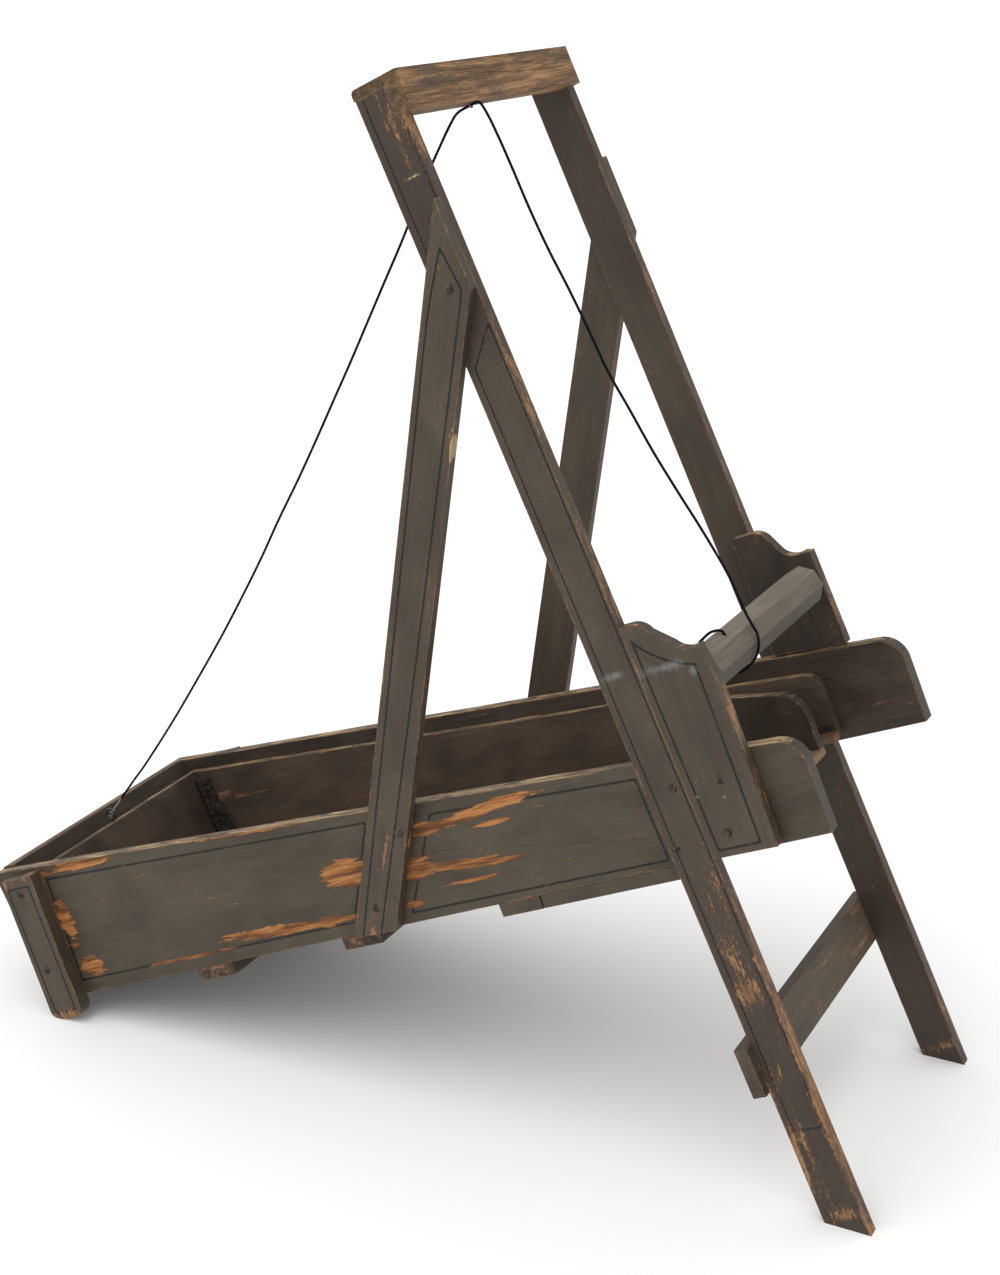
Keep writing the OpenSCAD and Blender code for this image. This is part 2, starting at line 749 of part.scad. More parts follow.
module tray_floor() {
    color(shaded_paint) difference() {
        intersection() {
            between_tray_walls(tray_end, tray_bottom, tray_floor_top);
            past_low_end(tray_low_face + tray_wall_t);
        }
        beside_mouth();
        far_side() beside_mouth();
    }
}

module spout_guide() {
    behind = crossing(guide_foot + guide_back, guide_way, guide_foot, [cos(taper), sin(taper)]);
    corner = [tray_end - guide_corner_r, tray_rim_at(tray_end) - guide_drop - guide_corner_r];
    color(shaded_paint) in_tank() intersection() {
        linear_extrude(wall_depth_low)
            polygon([guide_foot, behind, guide_mouth + guide_back, guide_mouth]);
        board(-wall_half_low, 0)
            polygon(concat([[guide_start - 1, tray_floor_top], [tray_end, tray_floor_top]],
                arc(corner, guide_corner_r, 0, 90 + atan(rim_slope)),
                [[guide_start - 1, tray_rim_at(guide_start - 1) - guide_drop]]));
    }
}

module spout_guide_near() {
    spout_guide();
}

module spout_guide_far() {
    far_side() spout_guide();
}

module pivot_pin() {
    inner = tray_inner_half(pivot_u) + tray_wall_t / 4;
    in_tank() translate([pivot_u, 0, pivot_h])
        across(-wall_outer_half(pivot_u) + pin_gap, -inner, pin_d);
}

module pivot_pins() {
    color(steel) {
        pivot_pin();
        far_side() pivot_pin();
    }
}

// Fittings

// Top of the tray's end wall, with Z out of the wood
module eye_place() {
    from_near = wall_half_low - eye_offset;
    middle = tray_low_face + tray_wall_t / 2 + lean_shift * tray_end_top;
    in_tank() translate([middle / cos(end_skew) - from_near * tan(end_skew), -eye_offset, tray_end_top])
        children();
}

// Wire eye that stands on a shank, with its ring above the wood
module tray_eye() {
    color(steel) eye_place() {
        translate([0, 0, -eye_shank_length])
            cylinder(h = eye_shank_length + eye_stand + eye_wire / 2, d = eye_wire);
        translate([0, 0, eye_stand + eye_wire / 2 + eye_r]) rotate([90, 0, 0])
            rotate_extrude() translate([eye_r, 0]) circle(d = eye_wire);
    }
}

// Wire loop round the eye, with a twisted shank that reaches along the rope
module rope_link() {
    r = (eye_wire + link_wire) / 2 + link_gap;
    color(steel) eye_place() translate([0, 0, eye_stand + eye_wire / 2 + eye_r])
        rotate([0, 0, -link_swing]) rotate([0, link_turn, 0]) translate([0, 0, eye_r]) {
            rotate([0, 90, 0]) rotate_extrude() translate([r, 0]) circle(d = link_wire);
            translate([0, 0, r]) cylinder(h = link_reach - r, d = link_shank_d);
        }
}

// Underside of the top rail at the staple, with Z into the wood
module staple_place() {
    in_frame() translate([stringer_w - rail_let_in + rail_t / 2, -staple_offset, stringer_length - rail_drop])
        children();
}

module staple_legs(depth, d) {
    staple_place() for (y = [-staple_r, staple_r]) translate([0, y, -staple_leg])
        cylinder(h = depth + staple_leg, d = d);
}

// Wire staple that holds the rope up against the rail
module rail_staple() {
    color(steel) {
        staple_legs(staple_depth, staple_wire);
        staple_place() translate([0, 0, -staple_leg]) rotate([-90, 0, 90])
            rotate_extrude(angle = 180) translate([staple_r, 0]) circle(d = staple_wire);
    }
}

module rope_lift() {
    color(rope_colour) tube(rope_lift_route, rope_d);
}

module rope_fall() {
    color(rope_colour) tube(rope_fall_route, rope_d);
}

module rope_wraps() {
    color(rope_colour) tube(wrap_route, rope_d);
}

// Slotted round head on a short shank, with Z out of the wood
module screw() {
    dome_r = (pow(screw_head_d / 2, 2) + pow(screw_head_h, 2)) / (2 * screw_head_h);
    difference() {
        union() {
            intersection() {
                translate([0, 0, screw_head_h - dome_r]) sphere(r = dome_r);
                cylinder(h = screw_head_h, d = screw_head_d);
            }
            translate([0, 0, -screw_shank_length]) cylinder(h = screw_shank_length, d = screw_shank_d);
        }
        rotate([0, 0, slot_turn]) translate([-screw_head_d, -slot_size / 2, screw_head_h - slot_size])
            cube([2 * screw_head_d, slot_size, 2 * slot_size]);
    }
}

module screw_bore() {
    depth = screw_shank_length + fitting_gap;
    translate([0, 0, -depth]) cylinder(h = depth + 1, d = screw_shank_d + 2 * fitting_gap);
}

// Screw places on a near face at a given Y: in the tank's directions, a stringer's, and a cleat's
module at_screws_in_tank(places, y) {
    for (uv = places) in_tank() translate([uv[0], y, uv[1]]) rotate([90, 0, 0]) children();
}

module at_ear_screws() {
    at_screws_in_tank([for (q = ear_screw_inset) [near_edge - q[0], q[1]]], -frame_outer_half) children();
}

module at_cleat_screws() {
    for (uv = cleat_screw_uv) on_near_wall() translate([uv[0], -cleat_t, uv[1]])
        rotate([90, 0, 0]) children();
}

module at_brace_screws() {
    for (q = brace_screw_places) in_brace() translate([q[0], -frame_outer_half - brace_t, q[1]])
        rotate([90, 0, 0]) children();
    in_frame() translate([brace_top_screw[0], -frame_outer_half - brace_t, brace_top_screw[1]])
        rotate([90, 0, 0]) children();
}

module cleat_bores() {
    at_cleat_screws() screw_bore();
}

module brace_bores() {
    at_brace_screws() screw_bore();
}

module stringer_bores() {
    at_screws_in_tank(stringer_screw_uv, -frame_outer_half) screw_bore();
}

module both_sides() {
    children();
    far_side() children();
}

module cleat_screws() {
    color(steel) both_sides() at_cleat_screws() screw();
}

module brace_screws() {
    color(steel) both_sides() at_brace_screws() screw();
}

module stringer_screws() {
    color(steel) both_sides() at_screws_in_tank(stringer_screw_uv, -frame_outer_half) screw();
}

module ear_screws() {
    color(steel) at_ear_screws() screw();
}

echo(tank_origin = tank_origin, foot_x = foot_x, roller = roller_xz, pivot = from_tank([pivot_u, pivot_h]),
    taper = taper, wall_half_low = wall_half_low);
echo(least_gap_of_wound_rope = least_gap(wrap_route, rope_d));

tank_wall_near();
tank_wall_far();
tank_end_board();
tank_floor();
batten_low();
batten_middle();
batten_high();
bottom_board();
foot_cleat_near();
foot_cleat_far();
stringer_near();
stringer_far();
brace_near();
brace_far();
ear_near();
ear_far();
top_rail();
cap_board();
lower_crossbar();
pivot_pins();
rail_staple();
windlass_roller();
tray_floor();
tray_wall_near();
tray_wall_far();
tray_end_wall();
spout_guide_near();
spout_guide_far();
tray_eye();
rope_link();
rope_lift();
rope_fall();
rope_wraps();
cleat_screws();
brace_screws();
stringer_screws();
ear_screws();
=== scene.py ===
"""Looks of a seed treater: worn olive paint with dark pinstripes, a soaked tray, a whittled roller and a black rope."""

import logging
import math
from dataclasses import dataclass, field
from enum import Enum

import bmesh
import bpy
from mathutils import Matrix, Vector, noise

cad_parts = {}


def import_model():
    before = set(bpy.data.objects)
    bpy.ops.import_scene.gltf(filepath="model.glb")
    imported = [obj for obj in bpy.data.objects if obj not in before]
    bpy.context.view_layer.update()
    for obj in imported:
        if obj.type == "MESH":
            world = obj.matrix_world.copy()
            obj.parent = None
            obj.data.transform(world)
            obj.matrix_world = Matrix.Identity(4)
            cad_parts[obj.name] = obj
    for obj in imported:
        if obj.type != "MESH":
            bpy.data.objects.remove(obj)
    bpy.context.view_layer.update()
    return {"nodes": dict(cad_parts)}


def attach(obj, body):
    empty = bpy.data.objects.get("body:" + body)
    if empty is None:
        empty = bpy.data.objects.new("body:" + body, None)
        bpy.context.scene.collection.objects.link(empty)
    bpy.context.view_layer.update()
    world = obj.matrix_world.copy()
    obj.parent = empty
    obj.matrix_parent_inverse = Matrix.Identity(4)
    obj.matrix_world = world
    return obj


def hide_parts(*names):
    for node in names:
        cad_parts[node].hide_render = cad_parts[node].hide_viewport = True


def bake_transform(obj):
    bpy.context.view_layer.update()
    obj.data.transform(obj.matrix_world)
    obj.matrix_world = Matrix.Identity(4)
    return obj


LOG = logging.getLogger("seed_treater")
MM = 0.001

Triple = tuple[float, float, float]
Pair = tuple[float, float]


def tone(red: int, green: int, blue: int) -> Triple:
    """Turn a colour as a screen shows it into a shader's colour.

    Args:
        red: red, 0 to 255.
        green: green, 0 to 255.
        blue: blue, 0 to 255.

    Returns:
        The linear colour.
    """
    return tuple((c / 255 / 12.92) if c < 11 else ((c / 255 + 0.055) / 1.055) ** 2.4 for c in (red, green, blue))


class Slot(Enum):
    """The record's material slots."""

    PAINT = "paint"
    TANK = "tank_wood"
    WORN = "worn_paint"
    TRAY = "tray_wood"
    BARE = "bare_wood"
    STEEL = "steel"
    SCREW = "screw_paint"
    ROPE = "rope"


class Side(Enum):
    """Which way the outer face of a board looks along Y."""

    NEAR = -1.0
    FAR = 1.0


@dataclass(frozen=True)
class Space:
    """A board's own directions, from an origin in metres: along its grain, across it and out of its face."""

    origin: Triple
    along: Triple
    across: Triple
    out: Triple = (0.0, 1.0, 0.0)

    def point(self, along: float, across: float, out: float = 0.0) -> Vector:
        """Place a point.

        Args:
            along: millimetres along the grain.
            across: millimetres across it.
            out: millimetres out of the face.

        Returns:
            The point in the row frame, in metres.
        """
        return Vector(self.origin) + MM * (along * Vector(self.along) + across * Vector(self.across) + out * Vector(self.out))

    def turned(self) -> "Space":
        """Return the same place with its grain across."""
        return Space(self.origin, self.across, self.along, self.out)

    def beam(self) -> "Space":
        """Return the same place with its grain along Y, for boards that run from side to side."""
        return Space(self.origin, self.out, self.along, self.across)


TANK = Space((-0.309149, 0.0, 0.006813), (0.91566, 0.0, 0.40195), (-0.40195, 0.0, 0.91566))
LEG = Space((0.34282, 0.0, 0.0), (-0.43994, 0.0, 0.89803), (0.89803, 0.0, 0.43994))
BRACE = Space((-0.02438, 0.0, 0.13182), (0.12706, 0.0, 0.99189), (0.99189, 0.0, -0.12706))


class Value:
    """A shader socket that holds a number, with Python's arithmetic."""

    def __init__(self, shade: "Shade", socket: bpy.types.NodeSocket) -> None:
        """Keep the socket and the material that it belongs to."""
        self.shade = shade
        self.socket = socket

    def maths(self, kind: str, *others: "Value | float", swap: bool = False) -> "Value":
        """Add one Math node.

        Args:
            kind: its operation.
            others: its other operands.
            swap: whether this value comes second.

        Returns:
            The result.
        """
        operands = [self, *others]
        if swap:
            operands.reverse()
        node = self.shade.node("ShaderNodeMath", {"operation": kind}, dict(enumerate(operands)))
        return Value(self.shade, node.outputs[0])

    def __add__(self, other: "Value | float") -> "Value":
        """Add."""
        return self.maths("ADD", other)

    __radd__ = __add__

    def __sub__(self, other: "Value | float") -> "Value":
        """Subtract."""
        return self.maths("SUBTRACT", other)

    def __rsub__(self, other: float) -> "Value":
        """Subtract from a number."""
        return self.maths("SUBTRACT", other, swap=True)

    def __mul__(self, other: "Value | float") -> "Value":
        """Multiply."""
        return self.maths("MULTIPLY", other)

    __rmul__ = __mul__

    def __truediv__(self, other: "Value | float") -> "Value":
        """Divide."""
        return self.maths("DIVIDE", other)

    def __rtruediv__(self, other: float) -> "Value":
        """Divide a number by this."""
        return self.maths("DIVIDE", other, swap=True)

    def __pow__(self, other: float) -> "Value":
        """Raise to a power."""
        return self.maths("POWER", other)

    def __abs__(self) -> "Value":
        """Drop the sign."""
        return self.maths("ABSOLUTE")

    def most(self, other: "Value | float", soft: float = 0.0) -> "Value":
        """Take the greater of two values.

        Args:
            other: the other value.
            soft: how far apart they begin to round into each other.

        Returns:
            The greater value.
        """
        return self.maths("SMOOTH_MAX", other, soft) if soft else self.maths("MAXIMUM", other)

    def least(self, other: "Value | float") -> "Value":
        """Return the smaller of two values."""
        return self.maths("MINIMUM", other)

    def rise(self, low: float, high: float) -> "Value":
        """Rise from 0 to 1 between two values.

        Args:
            low: where the rise starts.
            high: where it ends.

        Returns:
            The risen value.
        """
        inputs = {"Value": self, "From Min": low, "From Max": high}
        node = self.shade.node("ShaderNodeMapRange", {"interpolation_type": "SMOOTHSTEP"}, inputs)
        return Value(self.shade, node.outputs["Result"])


Colour = "Triple | bpy.types.NodeSocket"


class Shade:
    """One material under construction."""

    def __init__(self, name: str) -> None:
        """Start a material with its own shader."""
        self.material = bpy.data.materials.new(name)
        self.material.use_nodes = True
        self.tree = self.material.node_tree
        self.shader = self.tree.nodes["Principled BSDF"]
        self.coordinates = self.node("ShaderNodeTexCoord")
        self.geometry = self.node("ShaderNodeNewGeometry")

    def node(self, kind: str, settings: dict[str, object] | None = None,
             inputs: dict[int | str, object] | None = None) -> bpy.types.Node:
        """Add any node.

        Args:
            kind: the node's type.
            settings: its own settings, set first.
            inputs: values or links of its sockets, by name or number.

        Returns:
            The node.
        """
        node = self.tree.nodes.new(kind)
        for name, value in (settings or {}).items():
            setattr(node, name, value)
        for key, value in (inputs or {}).items():
            self.feed(node.inputs[key], value)
        return node

    def feed(self, socket: bpy.types.NodeSocket, value: object) -> None:
        """Give a socket a number, a colour, a vector or a link.

        Args:
            socket: the socket to feed.
            value: what it gets.
        """
        if isinstance(value, Value):
            self.tree.links.new(value.socket, socket)
        elif isinstance(value, bpy.types.NodeSocket):
            self.tree.links.new(value, socket)
        elif socket.type == "RGBA":
            socket.default_value = (*value, 1.0)
        else:
            socket.default_value = value

    def dot(self, vector: bpy.types.NodeSocket, direction: Triple) -> Value:
        """Measure a vector along a direction.

        Args:
            vector: the vector's socket.
            direction: the direction, whose length scales the result.

        Returns:
            The dot product.
        """
        node = self.node("ShaderNodeVectorMath", {"operation": "DOT_PRODUCT"}, {0: vector, 1: direction})
        return Value(self, node.outputs["Value"])

    def place(self, space: Space) -> tuple[Value, Value, Value]:
        """Measure the surface point in a board's own directions.

        Args:
            space: the board's directions.

        Returns:
            Millimetres along, across and out.
        """
        moved = self.node("ShaderNodeVectorMath", {"operation": "SUBTRACT"},
                          {0: self.coordinates.outputs["Object"], 1: space.origin}).outputs["Vector"]
        axes = (space.along, space.across, space.out)
        return tuple(self.dot(moved, tuple(1000 * c for c in axis)) for axis in axes)

    def facing(self, direction: Triple) -> Value:
        """Return 1 where the surface faces a direction and -1 where it faces away."""
        return self.dot(self.geometry.outputs["True Normal"], direction)

    def speckle(self, spot: tuple[Value, Value, Value], sizes: Triple, seed: float, detail: float = 4.0,
                warp: float = 0.0) -> Value:
        """Make noise about zero, stretched along a board.

        Args:
            spot: the place in the board's own directions.
            sizes: the noise's size along, across and out, in millimetres.
            seed: the board's own number, so that no two look alike.
            detail: octaves.
            warp: distortion.

        Returns:
            The noise, from about -0.5 to 0.5.
        """
        parts = {i: spot[i] / sizes[i] + seed * (1.0 + 0.37 * i) for i in range(3)}
        vector = self.node("ShaderNodeCombineXYZ", None, parts).outputs[0]
        texture = self.node("ShaderNodeTexNoise", None,
                            {"Vector": vector, "Scale": 1.0, "Detail": detail, "Distortion": warp})
        return (Value(self, texture.outputs["Fac"]) - 0.5) * 2.0

    def arris(self, radius: float) -> Value:
        """Find the board's edges.

        Args:
            radius: how far from an edge it reaches, in millimetres.

        Returns:
            About 1 on an edge, and 0 beyond the radius.
        """
        bevel = self.node("ShaderNodeBevel", {"samples": 6}, {"Radius": radius * MM})
        dot = self.node("ShaderNodeVectorMath", {"operation": "DOT_PRODUCT"},
                        {0: bevel.outputs["Normal"], 1: self.geometry.outputs["True Normal"]})
        return (1.0 - Value(self, dot.outputs["Value"])) / 0.28

    def mix(self, factor: "Value | float", first: Colour, second: Colour, blend: str = "MIX") -> bpy.types.NodeSocket:
        """Mix two colours.

        Args:
            factor: 0 for the first, 1 for the second.
            first: a colour or its socket.
            second: a colour or its socket.
            blend: how they mix.

        Returns:
            The mixed colour's socket.
        """
        settings = {"data_type": "RGBA", "blend_type": blend, "clamp_factor": True}
        return self.node("ShaderNodeMix", settings, {0: factor, 6: first, 7: second}).outputs[2]

    def finish(self, colour: Colour, roughness: "Value | float", height: "Value | None" = None,
               metallic: float = 0.0, gloss: float = 0.5) -> bpy.types.Material:
        """Join the layers to the shader.

        Args:
            colour: the surface's colour.
            roughness: its roughness.
            height: its relief in millimetres, if any.
            metallic: 1 for metal.
            gloss: the strength of its shine.

        Returns:
            The finished material.
        """
        self.feed(self.shader.inputs["Base Color"], colour)
        self.feed(self.shader.inputs["Roughness"], roughness)
        self.shader.inputs["Metallic"].default_value = metallic
        self.shader.inputs["Specular IOR Level"].default_value = gloss
        if height is not None:
            bump = self.node("ShaderNodeBump", None, {"Strength": 0.7, "Distance": MM, "Height": height})
            self.feed(self.shader.inputs["Normal"], bump.outputs["Normal"])
        return self.material


@dataclass(frozen=True)
class Patch:
    """A place where something has happened to the surface, in millimetres along and across the board."""

    along: float
    across: float
    reach: float
    spread: float
    lean: float = 0.0
    force: float = 1.0

    def strength(self, spot: tuple[Value, Value, Value]) -> Value:
        """Return the patch's strength, which falls from its force at the middle to 0 at its rim."""
        a = (spot[0] - self.along) / self.reach
        b = (spot[1] - self.across - (spot[0] - self.along) * self.lean) / self.spread
        return (1.0 - (a * a + b * b) ** 0.5) * self.force


@dataclass(frozen=True)
class Panel:
    """A pinstriped panel, by its corners in order, and a round bite out of it, in millimetres."""

    corners: tuple[Pair, ...]
    bite: Triple | None = None
    width: float = 1.7

    def line(self, spot: tuple[Value, Value, Value]) -> Value:
        """Draw the stripe.

        Args:
            spot: the place in the board's own directions.

        Returns:
            1 on the stripe and 0 off it.
        """
        turns = zip(self.corners, self.corners[1:] + self.corners[:1])
        area = sum(p[0] * q[1] - q[0] * p[1] for p, q in turns)
        depth = None
        for p, q in zip(self.corners, self.corners[1:] + self.corners[:1]):
            length = math.copysign(math.dist(p, q), area)
            normal = ((q[1] - p[1]) / length, (p[0] - q[0]) / length)
            edge = spot[0] * normal[0] + spot[1] * normal[1] - (p[0] * normal[0] + p[1] * normal[1])
            depth = edge if depth is None else depth.most(edge, 3.0)
        if self.bite:
            a, b = spot[0] - self.bite[0], spot[1] - self.bite[1]
            depth = depth.most(self.bite[2] - (a * a + b * b) ** 0.5, 2.0)
        return 1.0 - abs(depth).rise(self.width / 2 - 0.35, self.width / 2 + 0.35)


@dataclass(frozen=True)
class Wood:
    """Colours of bare wood."""

    light: Triple
    middle: Triple
    dark: Triple

    def colour(self, shade: Shade, spot: tuple[Value, Value, Value], seed: float) -> tuple[bpy.types.NodeSocket, Value]:
        """Grow the grain.

        Args:
            shade: the material.
            spot: the place in the board's own directions.
            seed: the board's own number.

        Returns:
            The wood's colour and its grain, from 0 to 1.
        """
        rings = shade.speckle(spot, (90.0, 5.0, 5.0), seed, 5.0, 0.4)
        fibre = shade.speckle(spot, (22.0, 0.7, 0.7), seed + 3.0, 3.0)
        grain = (rings * 0.9 + fibre * 0.7 + 0.5).rise(0.1, 0.9)
        colour = shade.mix(grain.rise(0.0, 0.55), self.dark, self.middle)
        return shade.mix(grain.rise(0.5, 1.0), colour, self.light), grain


ORANGE = Wood(tone(170, 118, 70), tone(142, 90, 47), tone(88, 54, 29))
BROWN = Wood(tone(160, 124, 88), tone(124, 92, 61), tone(74, 54, 37))
CREAM = Wood(tone(168, 146, 110), tone(136, 110, 77), tone(92, 70, 48))
RUSSET = Wood(tone(132, 98, 70), tone(96, 72, 53), tone(54, 40, 31))
GREY = Wood(tone(134, 124, 111), tone(112, 102, 90), tone(84, 75, 65))


@dataclass(frozen=True)
class Coat:
    """An old coat of paint or stain over wood."""

    colour: Triple
    deep: Triple
    scuff: Triple
    wood: Wood
    rim: Wood
    roughness: float = 0.52


OLIVE = Coat(tone(76, 67, 55), tone(59, 50, 41), tone(96, 84, 67), ORANGE, CREAM)
DRAB = Coat(tone(76, 68, 55), tone(58, 50, 40), tone(94, 83, 65), ORANGE, CREAM)
STAIN = Coat(tone(68, 58, 49), tone(48, 40, 34), tone(90, 76, 61), RUSSET, RUSSET, 0.62)
SOAKED = Coat(tone(84, 71, 60), tone(56, 47, 40), tone(104, 86, 68), RUSSET, CREAM, 0.58)
WORN_FLOOR = Coat(tone(124, 100, 76), tone(82, 66, 51), tone(140, 114, 86), RUSSET, CREAM, 0.58)
DAMP = Coat(tone(62, 53, 46), tone(42, 35, 30), tone(84, 70, 56), RUSSET, CREAM, 0.58)
REMNANT = Coat(tone(88, 79, 66), tone(62, 53, 43), tone(126, 108, 84), BROWN, BROWN, 0.62)

STRIPE = tone(16, 14, 15)
# Dark brown: painted shade on the narrow faces and along the arrises, and the colour of pits and of the darker patches.
SHADE_AND_DIRT = tone(50, 40, 36)
RUBBED_DARK = tone(96, 68, 48)
RUBBED_LIGHT = tone(156, 118, 82)
SMEAR = tone(134, 138, 137)


@dataclass(frozen=True)
class Board:
    """How one board is coated, striped and worn, with painted shade on its narrow faces and along its arrises."""

    space: Space
    seed: float
    coat: Coat = OLIVE
    edges: float = 0.45
    rubbed: float = -0.09
    flecks: float = 0.0
    rim_way: Triple | None = None
    rim: float = 0.0
    patches: tuple[Patch, ...] = ()
    flecked: tuple[Patch, ...] = ()
    dark_patches: tuple[Patch, ...] = ()
    blend: float = 0.0
    smears: tuple[Patch, ...] = ()
    chips: tuple[Patch, ...] = ()
    panels: tuple[Panel, ...] = ()
    side: Side | None = None
    inner: Coat | None = None
    ends: float = 0.0

    def material(self, name: str) -> bpy.types.Material:
        """Make the board's material.

        Args:
            name: the board's name.

        Returns:
            The material, from bare wood up through paint, painted shade, stripes, wear and smears.
        """
        shade = Shade(name)
        spot = shade.place(self.space)
        coat = self.coat
        ragged = shade.speckle(spot, (26.0, 4.0, 4.0), self.seed + 11.0, 6.0, 0.6)
        fine = shade.speckle(spot, (3.6, 0.9, 0.9), self.seed + 17.0, 4.0)
        cloudy = shade.speckle(spot, (60.0, 34.0, 34.0), self.seed + 23.0, 4.0, 0.5)
        brushed = shade.speckle(spot, (90.0, 2.0, 2.0), self.seed + 29.0, 3.0)
        pits = shade.speckle(spot, (1.8, 1.1, 1.1), self.seed + 35.0, 1.0)
        outside = shade.facing((0.0, self.side.value, 0.0)).rise(0.4, 0.6) if self.side else None

        wood, grain = coat.wood.colour(shade, spot, self.seed)
        paint = shade.mix((cloudy * 0.9 + brushed * 0.35 + fine * 0.35 + 0.6).rise(0.0, 1.0), coat.deep, coat.colour)
        paint = shade.mix((cloudy * 0.6 + fine * 0.9 + ragged * 0.4 - 0.12).rise(0.0, 0.6) * 0.5, paint, coat.scuff)
        paint = shade.mix((pits + fine * 0.3 - 0.36).rise(0.0, 0.12) * 0.5, paint, SHADE_AND_DIRT)
        if self.inner and outside:
            shown = shade.mix((cloudy + brushed * 0.5 + 0.5).rise(0.1, 0.9), self.inner.deep, self.inner.colour)
            paint = shade.mix(outside, shown, paint)
        # Painted shade: the narrow faces, which look neither out of the board nor into it, are darkened.
        if self.side:
            paint = shade.mix((1.0 - outside - shade.facing((0.0, -self.side.value, 0.0)).rise(0.4, 0.6)) * 0.3, paint, SHADE_AND_DIRT)
        arris = shade.arris(2.6)
        # Painted shade: the paint darkens along the arrises.
        paint = shade.mix((arris * 0.9 + ragged * 0.4).rise(0.1, 0.9) * 0.6, paint, SHADE_AND_DIRT)
        # The paint is darker in the given patches.
        for patch in self.dark_patches:
            paint = shade.mix((patch.strength(spot) + cloudy * 0.4 + ragged * 0.2).rise(0.0, 0.8) * 0.5, paint, SHADE_AND_DIRT)
        for panel in self.panels:
            stripe = panel.line(spot) * (1.05 + ragged * 0.9 + fine * 0.5).least(0.96)
            paint = shade.mix(stripe * outside if outside else stripe, paint, STRIPE)

        low = min(self.rubbed, 0.0)
        rub = (arris * (self.edges - low) + low).most(self.rubbed) + cloudy * 0.4
        for patch in self.flecked:
            rub = rub.most(patch.strength(spot))
        rub = rub + ragged * 0.6 + fine * 0.55
        if self.flecks:
            rub = rub.most((fine + ragged * 0.5 - 0.3 + self.flecks) * 2.0)
        rubbed = rub.rise(0.30 - self.blend, 0.44 + self.blend)
        worn_tone = wood if self.coat.wood is BROWN else shade.mix((ragged * 0.8 + fine * 0.7 + 0.5).rise(0.1, 1.0), RUBBED_DARK, RUBBED_LIGHT)
        colour = shade.mix(rub.rise(0.05, 0.34) * 0.4, paint, RUBBED_DARK)
        colour = shade.mix(rubbed, colour, worn_tone)
        bare = rubbed
        if self.patches:
            strengths = [patch.strength(spot) for patch in self.patches]
            peel = strengths[0]
            for strength in strengths[1:]:
                peel = peel.most(strength)
            peel = (peel * outside if outside else peel) + ragged * 0.75 + fine * 0.25
            peeled = peel.rise(0.30, 0.40)
            colour = shade.mix(peel.rise(0.12, 0.34) * 0.4, colour, coat.wood.dark)
            colour = shade.mix(peeled, colour, wood)
            bare = bare.most(peeled)
        if self.rim_way:
            crown, _ = coat.rim.colour(shade, spot, self.seed + 5.0)
            top = shade.facing(self.rim_way).rise(0.75, 0.9)
            colour = shade.mix(top * (self.rim + ragged * 1.2 + fine * 0.4).rise(0.0, 0.5), colour, crown)
            bare = bare.most(top * 0.6)
        if self.ends:
            butt = shade.facing((0.0, -1.0, 0.0)).rise(0.5, 0.9) * (0.9 + ragged * 0.8).least(1.0)
            colour = shade.mix(butt * self.ends, colour, coat.deep)
        for chip in self.chips:
            colour = shade.mix((chip.strength(spot) + ragged * 0.5 + fine * 0.4).rise(0.3, 0.45) * 0.85, colour, coat.rim.light)
        for smear in self.smears:
            film = (smear.strength(spot) + cloudy * 0.9 + ragged * 0.2 + fine * 0.5).rise(0.2, 1.0) * 0.5
            colour = shade.mix(film * outside if outside else film, colour, SMEAR)
        spots = (fine * 0.6 + shade.speckle(spot, (1.6, 1.6, 1.6), self.seed + 41.0, 0.0) - 0.62).rise(0.0, 0.06)
        colour = shade.mix(spots * 0.55, colour, coat.scuff)

        roughness = coat.roughness + bare * 0.2 + cloudy * 0.12 + fine * 0.08
        height = (1.0 - bare) * 0.10 + grain * bare * 0.12 + brushed * 0.025 + fine * 0.02
        return shade.finish(colour, roughness, height, gloss=0.28)


@dataclass(frozen=True)
class Whittled:
    """Grey-brown bare wood, shaved by hand, with painted shade on the facets that do not face up."""

    space: Space
    seed: float

    def material(self, name: str) -> bpy.types.Material:
        """Make the material.

        Args:
            name: the piece's name.

        Returns:
            The material.
        """
        shade = Shade(name)
        spot = shade.place(self.space)
        wood, grain = GREY.colour(shade, spot, self.seed)
        ragged = shade.speckle(spot, (44.0, 5.0, 5.0), self.seed + 7.0, 5.0, 0.2)
        shaved = shade.speckle(spot, (22.0, 5.0, 5.0), self.seed + 9.0, 1.0)
        edge = (shade.arris(3.0) * 0.6 + ragged * 0.9).rise(0.2, 0.7)
        colour = shade.mix(0.55, wood, GREY.middle)
        colour = shade.mix(edge * 0.4, colour, GREY.light)
        colour = shade.mix((ragged - 0.02).rise(0.0, 0.35) * 0.35, colour, tone(80, 71, 61))
        # Painted shade: facets that turn away from above are darkened.
        colour = shade.mix((1.0 - shade.facing((-0.1, 0.0, 1.0)).rise(0.1, 0.95)) * 0.7, colour, tone(58, 50, 44))
        return shade.finish(colour, 0.68 + grain * 0.12, grain * 0.06 + shaved * 0.25, gloss=0.3)


@dataclass(frozen=True)
class Metal:
    """Dull metal with rust or old paint on it."""

    colour: Triple
    film: Triple
    roughness: float
    metallic: float
    cover: float

    def material(self, name: str) -> bpy.types.Material:
        """Make the material.

        Args:
            name: the piece's name.

        Returns:
            The material.
        """
        shade = Shade(name)
        spot = shade.place(TANK)
        blotch = shade.speckle(spot, (3.0, 3.0, 3.0), 2.0, 5.0)
        pits = shade.speckle(spot, (0.7, 0.7, 0.7), 5.0, 2.0)
        film = (blotch + pits * 0.5 + self.cover - shade.arris(0.5) * 0.45).rise(0.0, 0.3)
        colour = shade.mix(film, self.colour, self.film)
        roughness = self.roughness + film * 0.2 + pits * 0.1
        return shade.finish(colour, roughness, film * 0.04 + pits * 0.03, self.metallic)


